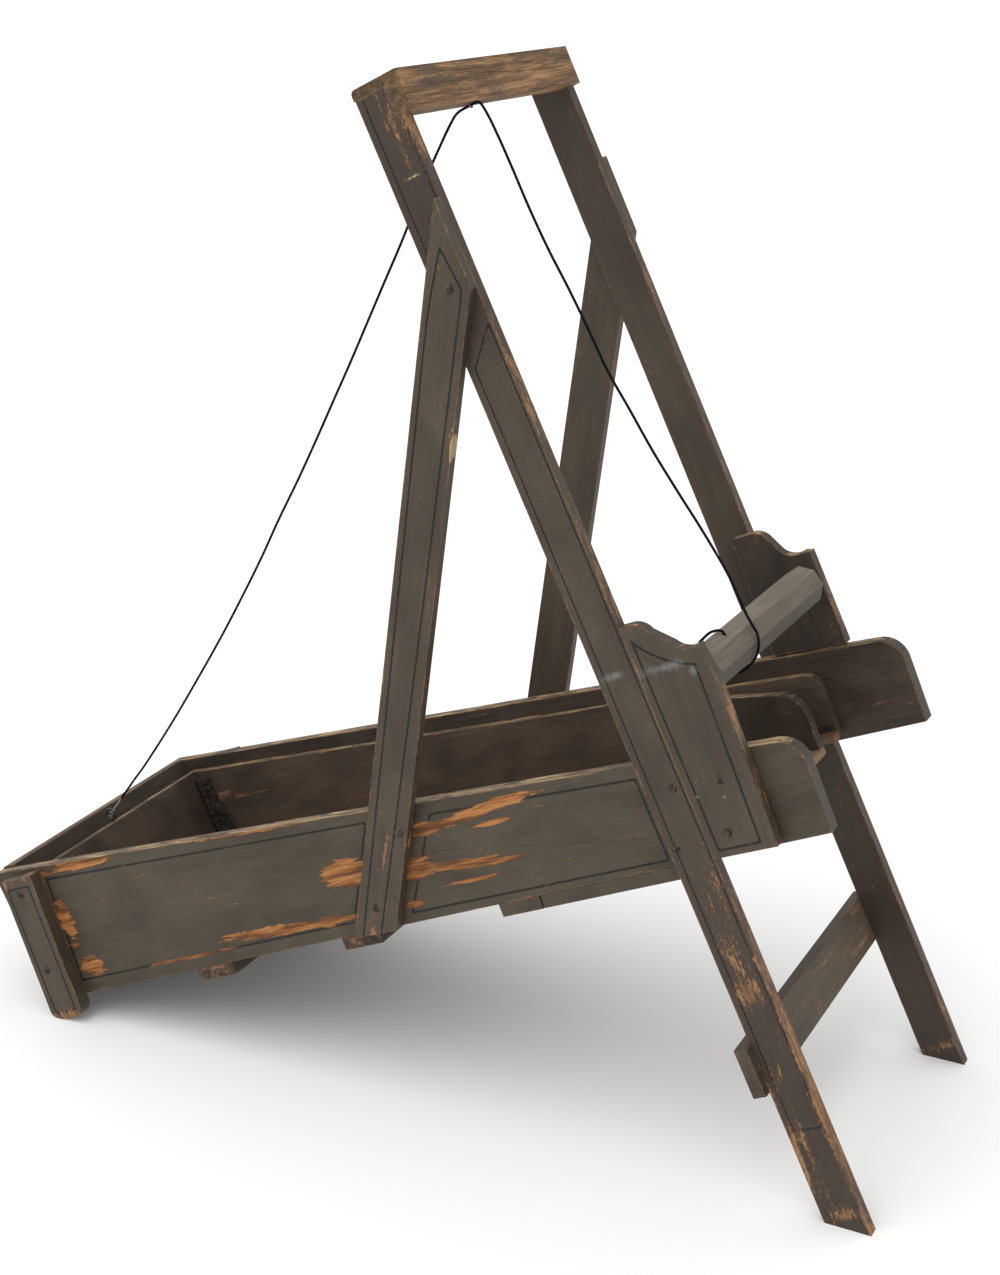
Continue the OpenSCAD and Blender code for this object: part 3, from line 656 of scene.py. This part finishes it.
@dataclass(frozen=True)
class Braid:
    """Black cord with fine crossing yarns."""

    colour: Triple = tone(13, 13, 22)
    yarn: Triple = tone(26, 26, 36)

    def material(self, name: str) -> bpy.types.Material:
        """Make the material.

        Args:
            name: the piece's name.

        Returns:
            The material.
        """
        shade = Shade(name)
        spot = shade.place(TANK)
        yarn = shade.speckle(spot, (0.5, 0.5, 0.5), 3.0, 2.0)
        dust = shade.speckle(spot, (14.0, 14.0, 14.0), 4.0, 3.0)
        colour = shade.mix((yarn + dust * 0.6).rise(0.1, 0.7), self.colour, self.yarn)
        return shade.finish(colour, 0.85 + yarn * 0.1, yarn * 0.05, gloss=0.08)


@dataclass(frozen=True)
class Residue:
    """Crusted dark residue."""

    def material(self, name: str) -> bpy.types.Material:
        """Make the material.

        Args:
            name: the piece's name.

        Returns:
            The material.
        """
        shade = Shade(name)
        spot = shade.place(TANK)
        crust = shade.speckle(spot, (2.2, 2.2, 2.2), 8.0, 5.0)
        colour = shade.mix(crust.rise(-0.2, 0.6), tone(33, 28, 25), tone(64, 54, 46))
        return shade.finish(colour, 0.7 + crust * 0.2, crust * 0.5, gloss=0.2)


STEEL = Metal(tone(112, 110, 108), tone(62, 54, 48), 0.42, 0.75, 0.0)
BRIGHT_WIRE = Metal(tone(150, 146, 138), tone(58, 50, 44), 0.4, 0.7, 0.0)
RING_STEEL = Metal(tone(66, 66, 70), tone(40, 37, 37), 0.5, 0.6, 0.05)
SCREW_PAINT = Metal(tone(88, 74, 59), tone(33, 28, 24), 0.6, 0.1, 0.26)


@dataclass
class Dresser:
    """Puts materials and soft arrises on the frame's nodes."""

    nodes: dict[str, bpy.types.Object]
    count: int = 0

    def coat(self, name: str, material: bpy.types.Material, arris: float = 0.0, segments: int = 2) -> None:
        """Give a node its material, and round its arrises.

        Args:
            name: the node.
            material: its material.
            arris: the rounding's width in millimetres.
            segments: the rounding's steps.
        """
        node = self.nodes[name]
        node.data.materials.clear()
        node.data.materials.append(material)
        if arris:
            weld = node.modifiers.new("weld", "WELD")
            weld.merge_threshold = 0.00001
            bevel = node.modifiers.new("arris", "BEVEL")
            bevel.width = arris * MM
            bevel.segments = segments
            bevel.limit_method = "ANGLE"
            bevel.angle_limit = math.radians(30.0)
        self.count += 1

    def boards(self, finishes: dict[str, Board], arris: float = 0.8) -> None:
        """Coat several boards.

        Args:
            finishes: each node's finish.
            arris: the rounding's width in millimetres.
        """
        for name, finish in finishes.items():
            self.coat(name, finish.material(name), arris)
            LOG.info("coated %s", name)


def piece(name: str, mesh: bmesh.types.BMesh, material: bpy.types.Material, smooth: bool = True) -> bpy.types.Object:
    """Make an object from a mesh.

    Args:
        name: the object's name.
        mesh: its mesh, which is freed.
        material: its material.
        smooth: whether it is shaded smooth.

    Returns:
        The object.
    """
    bmesh.ops.recalc_face_normals(mesh, faces=mesh.faces)
    for face in mesh.faces:
        face.smooth = smooth
    data = bpy.data.meshes.new(name)
    mesh.to_mesh(data)
    mesh.free()
    data.materials.append(material)
    obj = bpy.data.objects.new(name, data)
    bpy.context.collection.objects.link(obj)
    LOG.info("made %s", name)
    return obj


def smooth_route(points: list[Vector], step: float) -> list[Vector]:
    """Draw one smooth curve through points.

    Args:
        points: the points, in metres.
        step: how far apart the new points are.

    Returns:
        Points along the curve.
    """
    ends = [points[0] * 2 - points[1], *points, points[-1] * 2 - points[-2]]
    route = []
    for a, b, c, d in zip(ends, ends[1:], ends[2:], ends[3:]):
        count = max(1, round((c - b).length / step))
        for i in range(count):
            t = i / count
            route.append(0.5 * (2 * b + (c - a) * t + (2 * a - 5 * b + 4 * c - d) * t ** 2
                                + (3 * b - a - 3 * c + d) * t ** 3))
    return [*route, points[-1].copy()]


def carried_frames(route: list[Vector]) -> list[tuple[Vector, Vector]]:
    """Carry a side direction along a route without twist.

    Args:
        route: the points.

    Returns:
        Two directions square to the route at each point.
    """
    frames = []
    side = Vector((0.0, 1.0, 0.0))
    for i in range(len(route)):
        way = (route[min(i + 1, len(route) - 1)] - route[max(i - 1, 0)]).normalized()
        side = (side - way * side.dot(way)).normalized()
        frames.append((side.copy(), way.cross(side)))
    return frames


def tube(mesh: bmesh.types.BMesh, route: list[Vector], radius: float, sides: int = 8, lobes: int = 0,
         lay: float = 0.0, depth: float = 0.0) -> None:
    """Sweep a round or laid tube along a route.

    Args:
        mesh: the mesh that it is added to.
        route: the middle of the tube.
        radius: its radius.
        sides: points round it.
        lobes: strands round it, if it is laid.
        lay: the length of one turn of the strands.
        depth: how deep the furrows between the strands are, as a share of the radius.
    """
    rings = []
    gone = 0.0
    for i, (side, up) in enumerate(carried_frames(route)):
        gone += (route[i] - route[i - 1]).length if i else 0.0
        ring = []
        for k in range(sides):
            turn = math.tau * k / sides
            r = radius * (1.0 - depth * (0.5 - 0.5 * math.cos(lobes * (turn - math.tau * gone / lay)))) if lobes else radius
            ring.append(mesh.verts.new(route[i] + r * (math.cos(turn) * side + math.sin(turn) * up)))
        rings.append(ring)
    for a, b in zip(rings, rings[1:]):
        for k in range(sides):
            mesh.faces.new((a[k], a[(k + 1) % sides], b[(k + 1) % sides], b[k]))
    mesh.faces.new(rings[0])
    mesh.faces.new(rings[-1])


def millimetres(points: list[Triple]) -> list[Vector]:
    """Turn points in millimetres into vectors in metres."""
    return [Vector(p) * MM for p in points]


@dataclass
class Rope:
    """The rope from the tray's link over the rail to the roller, in three stretches."""

    diameter: float = 0.002
    roller: Pair = (231.178, 379.421)
    wrap_radius: float = 16.994
    lift: list[Triple] = field(default_factory=lambda: [
        (-328.8, -9.9, 131.9), (-324.6, -10.2, 137.6), (-313, -11, 153), (-297, -12, 174), (-267, -14, 217),
        (-239, -17, 259), (-214, -19, 298), (-191, -21, 336), (-170, -22, 373), (-151, -24, 408), (-132, -25, 442),
        (-114, -27, 475), (-97, -28, 508), (-80, -30, 540), (-65, -31, 570), (-50, -32, 600), (-34, -33, 632),
        (-16, -35, 671), (-1, -36, 700), (6.5, -36.7, 713), (10, -37, 717.7), (14.2, -37.4, 720.7),
        (17.8, -37.8, 722.4), (21.4, -38, 724.2)])
    fall: list[Triple] = field(default_factory=lambda: [
        (21.4, -38, 724.2), (25, -38.2, 726), (27.4, -38.3, 726.6), (29.3, -38.4, 725.6), (31.6, -38.5, 722.9),
        (36, -38.7, 716.5), (41, -38.9, 708), (47, -39, 697), (54, -39, 683.5), (67, -40, 659), (82, -41, 633),
        (98, -41, 607), (113, -42, 582), (128, -43, 556), (145, -43, 531), (163, -44, 505), (182, -45, 480),
        (202, -46, 454.5), (222, -47, 427), (236, -48, 402.5), (243.5, -48, 391.3)])

    def on_wrap(self, angle: float, y: float, radius: float) -> Triple:
        """Place a point beside the roller's axis.

        Args:
            angle: its angle in degrees.
            y: its place along the roller.
            radius: its distance from the axis.

        Returns:
            The point in millimetres.
        """
        turn = math.radians(angle)
        return (self.roller[0] + radius * math.cos(turn), y, self.roller[1] + radius * math.sin(turn))

    def wraps(self) -> list[Triple]:
        """Return the points of the turn round the roller, which ends in its hole."""
        r = self.wrap_radius
        turn = [self.on_wrap(37 - 265 * i / 18, -48 - 36 * i / 18, r) for i in range(19)]
        first = math.radians(37)
        lead = (turn[0][0] - 2 * math.sin(first), -48, turn[0][2] + 2 * math.cos(first))
        tail = [(-246, -81, 1.5), (-260, -76.5, 1.0), (-268, -74.3, -1.0), (-270, -74, -4.0), (-270, -74, -9.0)]
        return [lead, *turn, *(self.on_wrap(a, y, r + d) for a, y, d in tail)]

    def strand(self, name: str, points: list[Triple], node: str, material: bpy.types.Material, lay: str) -> bpy.types.Object:
        """Args:
            name: the piece's name.
            points: its route in millimetres.
            node: the plain solid that it stands for.
            material: its material.
            lay: how it lies; not used.

        Returns:
            The piece.
        """
        route = smooth_route(millimetres(points), 0.0011)
        mesh = bmesh.new()
        tube(mesh, route, self.diameter / 2, 12, 4, 0.009, 0.08)
        rope = piece(name, mesh, material)
        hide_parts(node)
        length = sum((b - a).length for a, b in zip(route, route[1:]))
        LOG.info("%s is %.3f m long", name, length)
        return rope

    def build(self) -> None:
        """Make the three stretches."""
        material = Braid().material("braided_cord")
        lift = self.strand("lift_rope", self.lift, "rope_lift", material, "taut")
        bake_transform(lift)
        fall = self.strand("fall_rope", self.fall, "rope_fall", material, "taut")
        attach(fall, "frame")
        wraps = self.strand("wound_rope", self.wraps(), "rope_wraps", material, "coiled")
        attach(wraps, "windlass")


@dataclass
class Tank:
    """The tank's walls, end board, floor, battens and feet."""

    cleat_stripe: tuple[Pair, ...] = ((-7.0, 9.6), (-7.0, 30.5), (101.0, 35.5), (101.0, 13.6))
    panels: tuple[Panel, ...] = (
        Panel(((44, 99.6), (353.3, 81.6), (310.9, 10.1), (37.3, 11.5))),
        Panel(((407.8, 76.3), (572.0, 65.8), (574.8, 5.5), (362.5, 7.7))))
    near_wear: tuple[Patch, ...] = (
        Patch(86, 105.5, 50, 6, -0.04), Patch(250, 97.5, 80, 3.2, -0.06), Patch(46, 62, 10, 26), Patch(54, 22, 16, 12),
        Patch(322, 48, 32, 14, 0.0, 1.3), Patch(255, 15.8, 88, 5.5, -0.04), Patch(452, 71, 66, 6.5, 0.1), Patch(400, 66, 18, 8),
        Patch(455, 60, 20, 2.5), Patch(380, 39, 26, 11), Patch(425, 34.5, 68, 5.5, -0.09),
        Patch(366, 13.8, 10, 3.5), Patch(425, 22, 34, 2), Patch(24, 104, 30, 7), Patch(150, 11, 60, 2))
    far_wear: tuple[Patch, ...] = (
        Patch(120, 96, 70, 5), Patch(240, 40, 34, 9), Patch(60, 30, 16, 16), Patch(455, 30, 52, 5, 0.08),
        Patch(400, 70, 30, 6), Patch(330, 20, 60, 4), Patch(640, 20, 20, 12))

    def dress(self, dresser: Dresser) -> None:
        """Coat the tank.

        Args:
            dresser: what puts the materials on.
        """
        up = TANK.across
        beam = TANK.beam()
        cleat = TANK.turned()
        foot = (Patch(-12, 20, 9, 24, 0.0, 0.7), Patch(106, 10, 6, 14, 0.0, 0.5), Patch(108, 34, 5, 8, 0.0, 0.5))
        wall = {"coat": DRAB, "rim_way": up, "inner": STAIN, "panels": self.panels, "edges": 0.46}
        cleats = {"edges": 0.45, "flecked": foot, "panels": (Panel(self.cleat_stripe),)}
        dresser.boards({
            "tank_wall_near": Board(TANK, 1.0, rim=0.35, patches=self.near_wear, side=Side.NEAR, **wall),
            "tank_wall_far": Board(TANK, 2.0, rim=0.30, patches=self.far_wear, side=Side.FAR, **wall),
            "tank_end_board": Board(beam, 3.0, STAIN, 0.4, rim_way=up, rim=0.55),
            "tank_floor": Board(beam, 4.0, STAIN, 0.2),
            "batten_low": Board(beam, 5.0, STAIN, 0.4, -0.05, rim_way=(0.0, -1.0, 0.0), rim=0.25),
            "batten_middle": Board(beam, 6.0, STAIN, 0.4, -0.05, rim_way=(0.0, -1.0, 0.0), rim=0.15),
            "batten_high": Board(beam, 7.0, DRAB, 0.4, -0.1),
            "bottom_board": Board(beam, 8.0, DRAB, 0.35),
            "foot_cleat_near": Board(cleat, 9.0, side=Side.NEAR, **cleats),
            "foot_cleat_far": Board(cleat, 10.0, side=Side.FAR, **cleats),
        })


@dataclass
class Gantry:
    """The leaning frame: stringers, braces, ears, rail, cap and crossbar."""

    leg_wear: tuple[Patch, ...] = (
        Patch(100, 31.5, 230, 5.5, 0.0, 0.72), Patch(90, 31.5, 130, 4.0, 0.0, 1.1), Patch(174, 15, 17, 13, 0.0, 0.66), Patch(205, 15, 55, 11, 0.0, 0.36),
        Patch(262, 24, 50, 5, 0.0, 0.42), Patch(60, 2, 95, 5, 0.0, 0.55), Patch(58, 9, 60, 8, 0.0, 0.36),
        Patch(4, 16, 9, 26, 0.0, 0.5), Patch(112, 12, 14, 2.5, 0.3, 0.5), Patch(470, 31, 90, 3.5, 0.0, 0.42),
        Patch(610, 31, 80, 3.5, 0.0, 0.5), Patch(795, 20, 40, 12, 0.0, 0.34), Patch(786, 30, 50, 5, 0.0, 0.48),
        Patch(575, 3, 22, 3, 0.0, 0.4), Patch(334, 0, 14, 3, 0.0, 0.5))
    far_leg_wear: tuple[Patch, ...] = (
        Patch(90, 31.5, 200, 2.5, 0.0, 0.42), Patch(430, 31, 160, 2.0, 0.0, 0.36), Patch(4, 16, 7, 26, 0.0, 0.4),
        Patch(640, 31, 60, 3, 0.0, 0.45), Patch(300, 1, 90, 1.6, 0.0, 0.32))
    leg_stripes: tuple[Panel, ...] = (
        Panel(((70, 5.5), (70, 27.7), (652.5, 27.7), (628.5, 5.5)), width=1.3),
        Panel(((695, 5.5), (721, 27.7), (840, 27.7), (840, 5.5)), width=1.3))
    brace_wear: tuple[Patch, ...] = (
        Patch(82, 17, 28, 1.5, 0.02, 0.5), Patch(92, 33, 12, 3, 0.0, 0.5), Patch(200, 0, 60, 1.6, 0.0, 0.4),
        Patch(10, 16, 10, 12, 0.0, 0.3))
    brace_stripe: tuple[Pair, ...] = ((3, 6.4), (3, 24), (300, 26), (492, 29), (518, 8), (465, 3.6), (200, 5.4))
    near_edge: float = 660.2
    far_edge: float = 653.5
    back_foot: float = 613.2

    def near_ear(self) -> Board:
        """Describe the near ear's finish.

        Returns:
            The finish.
        """
        edge = self.near_edge
        left = self.back_foot + 5
        stripe = Panel(((8, left), (8, edge - 11), (150, edge - 11), (185, edge - 20), (185, left - 8)),
                       (196.8, edge + 2.7, 64.1))
        return Board(TANK.turned(), 25.0, edges=0.28, panels=(stripe,), side=Side.NEAR, rim_way=TANK.across, rim=0.05,
                     flecked=(Patch(100, edge, 60, 2.0, 0.0, 0.34), Patch(150, edge, 12, 4, 0.0, 0.5), Patch(40, edge, 40, 1.6, 0.0, 0.3)),
                     smears=(Patch(137, 628, 6, 22), Patch(130, 646, 6, 6)))

    def dress(self, dresser: Dresser) -> None:
        """Coat the frame.

        Args:
            dresser: what puts the materials on.
        """
        leg = {"panels": self.leg_stripes, "edges": 0.40,
               "dark_patches": (Patch(60, 15, 330, 90), Patch(760, 15, 170, 60), Patch(655, 25, 40, 22))}
        brace = {"flecked": self.brace_wear, "panels": (Panel(self.brace_stripe, width=1.5),), "edges": 0.34}
        beam = LEG.beam()
        dresser.boards({
            "stringer_near": Board(LEG, 21.0, side=Side.NEAR, flecked=self.leg_wear, smears=(Patch(408, 14, 6, 18),),
                                   chips=(Patch(756, 18, 1.4, 14, 0.0, 0.5),), **leg),
            "stringer_far": Board(LEG, 22.0, side=Side.FAR, flecked=self.far_leg_wear, **leg),
            "brace_near": Board(BRACE, 23.0, side=Side.NEAR, chips=(Patch(389, 33, 13, 2.0),), **brace),
            "brace_far": Board(BRACE, 24.0, side=Side.FAR, **brace),
            "ear_near": self.near_ear(),
            "ear_far": Board(TANK.turned(), 26.0, DAMP, 0.46, rim_way=TANK.across, rim=0.5,
                             flecked=(Patch(100, self.far_edge, 60, 2.0, 0.0, 0.4),)),
            "lower_crossbar": Board(beam, 29.0, REMNANT, 0.45, 0.12, blend=0.12),
        })
        dresser.boards({
            "top_rail": Board(beam, 27.0, REMNANT, 0.3, 0.46, blend=0.24, ends=0.5, flecked=(Patch(60, 805, 120, 30, 0.0, 0.75),)),
            "cap_board": Board(beam, 28.0, REMNANT, 0.3, 0.95, blend=0.24, ends=0.8),
        }, 3.0)


@dataclass
class Tray:
    """The tipping tray, its guides and the residue in its corner."""

    corner: tuple[Triple, ...] = ((15.9, 10.0, 113.5), (14.6, 38.0, 113.4), (13.0, 62.0, 113.6), (11.4, 96.0, 115.5))
    layers: tuple[tuple[Pair, float], ...] = (((0.0, 0.0), 6.0), ((3.6, 0.9), 5.0), ((7.2, 1.7), 4.4), ((11.0, 2.4), 3.6), ((14.5, 2.6), 2.6), ((2.0, -4.0), 3.6))

    def build_residue(self) -> None:
        """Fill the low far corner with crusted residue."""
        mesh = bmesh.new()
        for slide, size in self.layers:
            route = smooth_route([TANK.point(u + slide[0], v, y + slide[1]) for u, v, y in self.corner], 0.0011)
            first = len(mesh.verts)
            tube(mesh, route, size * MM, 24)
            mesh.verts.ensure_lookup_table()
            for vert in mesh.verts[first:]:
                spot = vert.co
                lump = 0.40 * noise.noise(spot * 90.0) + 0.24 * noise.noise(spot * 330.0) + 0.14 * noise.noise(spot * 800.0)
                middle = min(route, key=lambda q: (q - spot).length_squared)
                vert.co = middle + (spot - middle) * (1.0 + lump)
        crust = piece("corner_residue", mesh, Residue().material("dried_residue"))
        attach(crust, "tray")

    def dress(self, dresser: Dresser) -> None:
        """Coat the tray.

        Args:
            dresser: what puts the materials on.
        """
        up = TANK.across
        rim = {"rim_way": up, "coat": SOAKED}
        flecks = (Patch(30, 76, 16, 7, 0.1, 0.8), Patch(62, 72, 26, 3, 0.0, 0.7), Patch(160, 92, 26, 3, 0.0, 0.7))
        dresser.boards({
            "tray_floor": Board(TANK, 31.0, WORN_FLOOR, 0.2, 0.12),
            "tray_wall_near": Board(TANK, 32.0, edges=0.30, rim=0.32, **rim),
            "tray_wall_far": Board(TANK, 33.0, edges=0.30, rim=0.30, patches=flecks, dark_patches=(Patch(14, 40, 26, 90, 0.0, 2.2),), **rim),
            "tray_end_wall": Board(TANK.beam(), 34.0, edges=0.34, rim=0.20, dark_patches=(Patch(108, 20, 30, 90, 0.0, 2.2),), **rim),
            "spout_guide_near": Board(TANK, 35.0, DAMP, edges=0.32, rim_way=up, rim=0.25),
            "spout_guide_far": Board(TANK, 36.0, DAMP, edges=0.32, rim_way=up, rim=0.25),
        })


@dataclass
class Windlass:
    """The whittled roller."""

    centre: Triple = (0.231178, 0.0, 0.379421)

    def dress(self, dresser: Dresser) -> None:
        """Coat the roller and soften its facets.

        Args:
            dresser: what puts the materials on.
        """
        space = Space(self.centre, (0.0, 1.0, 0.0), (1.0, 0.0, 0.0), (0.0, 0.0, 1.0))
        dresser.coat("windlass_roller", Whittled(space, 41.0).material("whittled_wood"), 2.2, 4)


@dataclass
class Fittings:
    """Screws, wire parts and the twisted link."""

    link_start: Triple = (-342.4, -9.0, 113.5)
    link_end: Triple = (-328.8, -9.9, 131.9)
    ring: float = 1.9
    wire: float = 1.1

    def dress(self, dresser: Dresser) -> None:
        """Coat the metal nodes.

        Args:
            dresser: what puts the materials on.
        """
        painted = SCREW_PAINT.material("painted_screw")
        for name in ("cleat_screws", "brace_screws", "stringer_screws", "ear_screws"):
            dresser.coat(name, painted)
        dresser.coat("pivot_pins", STEEL.material("dull_steel"))
        dresser.coat("rail_staple", STEEL.material("staple_steel"))
        dresser.coat("tray_eye", RING_STEEL.material("ring_steel"))

    def build_nails(self) -> None:
        """Drive small nails into the near ear and the cap."""
        metal = STEEL.material("nail_steel")
        spots = [(TANK.point(u, v, -127.0), Vector((0.0, -1.0, 0.0))) for u, v in ((620, 57), (617, 47), (636, 43))]
        spots += [(LEG.point(821.5, 30, y), Vector(LEG.along)) for y in (-81, 11, 114)]
        mesh = bmesh.new()
        for point, way in spots:
            side = way.orthogonal().normalized()
            up = way.cross(side)
            rings = [[mesh.verts.new(point + way * rise + r * (math.cos(t) * side + math.sin(t) * up))
                      for t in (math.tau * k / 12 for k in range(12))]
                     for r, rise in ((0.0013, -0.0012), (0.0013, 0.00005), (0.0011, 0.00022), (0.0005, 0.0003))]
            for a, b in zip(rings, rings[1:]):
                for k in range(12):
                    mesh.faces.new((a[k], a[(k + 1) % 12], b[(k + 1) % 12], b[k]))
            mesh.faces.new(rings[0])
            mesh.faces.new(rings[-1])
        nails = piece("nail_heads", mesh, metal)
        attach(nails, "frame")

    def build_link(self) -> None:
        """Twist the link's two wires from its ring to the rope."""
        start, end = (Vector(p) * MM for p in (self.link_start, self.link_end))
        way = (end - start).normalized()
        side = way.cross(Vector((0.0, 1.0, 0.0))).normalized()
        flat = way.cross(side)
        mesh = bmesh.new()
        ring = self.ring * MM
        loop = [start + ring * (math.cos(t) * way + math.sin(t) * side)
                for t in (math.tau * i / 28 for i in range(29))]
        tube(mesh, loop, self.wire / 2 * MM, 8)
        length = (end - start).length - ring
        for phase in (0.0, math.pi):
            strand = []
            for i in range(61):
                gone = length * i / 60
                turn = phase + math.tau * gone / 0.0042
                strand.append(start + way * (ring + gone) + 0.00052 * (math.cos(turn) * side + math.sin(turn) * flat))
            tube(mesh, strand, 0.00048, 8)
        link = piece("twisted_link", mesh, BRIGHT_WIRE.material("bright_wire"))
        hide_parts("rope_link")
        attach(link, "tray")


@dataclass
class Studio:
    """Pale floor, soft light and the photograph's camera."""

    lens: float = 72.9
    azimuth: float = 26.675
    pitch: float = 19.8
    roll: float = 0.36
    position: Triple = (0.66805, -1.2765, 0.8483)
    sky: float = 0.92
    sun: float = 1.12
    white: float = 0.95

    def camera(self) -> None:
        """Place the camera at the photograph's viewing angle."""
        data = bpy.data.cameras.new("camera")
        data.lens = self.lens
        data.sensor_width = 36.0
        data.sensor_fit = "HORIZONTAL"
        data.clip_start = 0.01
        obj = bpy.data.objects.new("camera", data)
        bpy.context.collection.objects.link(obj)
        turn = (Matrix.Rotation(math.radians(self.azimuth), 4, "Z")
                @ Matrix.Rotation(math.radians(90 - self.pitch), 4, "X")
                @ Matrix.Rotation(math.radians(self.roll), 4, "Z"))
        obj.matrix_world = Matrix.Translation(self.position) @ turn
        bpy.context.scene.camera = obj

    def floor(self) -> None:
        """Lay a plain pale floor."""
        bpy.ops.mesh.primitive_plane_add(size=60.0, location=(0.0, 0.0, 0.0))
        plane = bpy.context.object
        shade = Shade("floor")
        paper = shade.speckle(shade.place(TANK), (400.0, 400.0, 400.0), 1.0, 3.0)
        colour = shade.mix(paper.rise(-0.5, 0.5), (self.white,) * 3, (self.white + 0.01,) * 3)
        material = shade.finish(colour, 1.0)
        shade.shader.inputs["Specular IOR Level"].default_value = 0.0
        plane.data.materials.append(material)

    def light(self) -> None:
        """Light the scene with a pale sky and one wide soft sun."""
        world = bpy.data.worlds.new("sky")
        world.use_nodes = True
        tree = world.node_tree
        path = tree.nodes.new("ShaderNodeLightPath")
        seen = tree.nodes.new("ShaderNodeMath")
        seen.operation = "MAXIMUM"
        tree.links.new(path.outputs["Is Camera Ray"], seen.inputs[0])
        tree.links.new(path.outputs["Is Transmission Ray"], seen.inputs[1])
        strength = tree.nodes.new("ShaderNodeMapRange")
        strength.inputs["To Min"].default_value = self.sky
        strength.inputs["To Max"].default_value = 1.0
        tree.links.new(seen.outputs[0], strength.inputs["Value"])
        background = tree.nodes["Background"]
        background.inputs["Color"].default_value = (1.0, 1.0, 1.0, 1.0)
        tree.links.new(strength.outputs["Result"], background.inputs["Strength"])
        bpy.context.scene.world = world
        data = bpy.data.lights.new("sun", "SUN")
        data.energy = self.sun
        data.angle = math.radians(60.0)
        lamp = bpy.data.objects.new("sun", data)
        lamp.rotation_euler = Vector((-0.35, -0.55, 1.0)).to_track_quat("Z", "Y").to_euler()
        bpy.context.collection.objects.link(lamp)

    def build(self) -> None:
        """Make the studio's light and floor."""
        self.floor()
        self.light()
        bpy.context.scene.view_settings.view_transform = "Standard"


def main() -> None:
    """Build the scene in order and log how many nodes were dressed."""
    logging.basicConfig(level=logging.INFO)
    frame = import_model()
    studio = Studio()
    studio.camera()
    Rope().build()
    dresser = Dresser(frame["nodes"])
    Tank().dress(dresser)
    Gantry().dress(dresser)
    tray = Tray()
    tray.dress(dresser)
    tray.build_residue()
    Windlass().dress(dresser)
    fittings = Fittings()
    fittings.dress(dresser)
    fittings.build_link()
    fittings.build_nails()
    studio.build()
    LOG.info("dressed %d nodes", dresser.count)


if __name__ == "__main__":
    main()
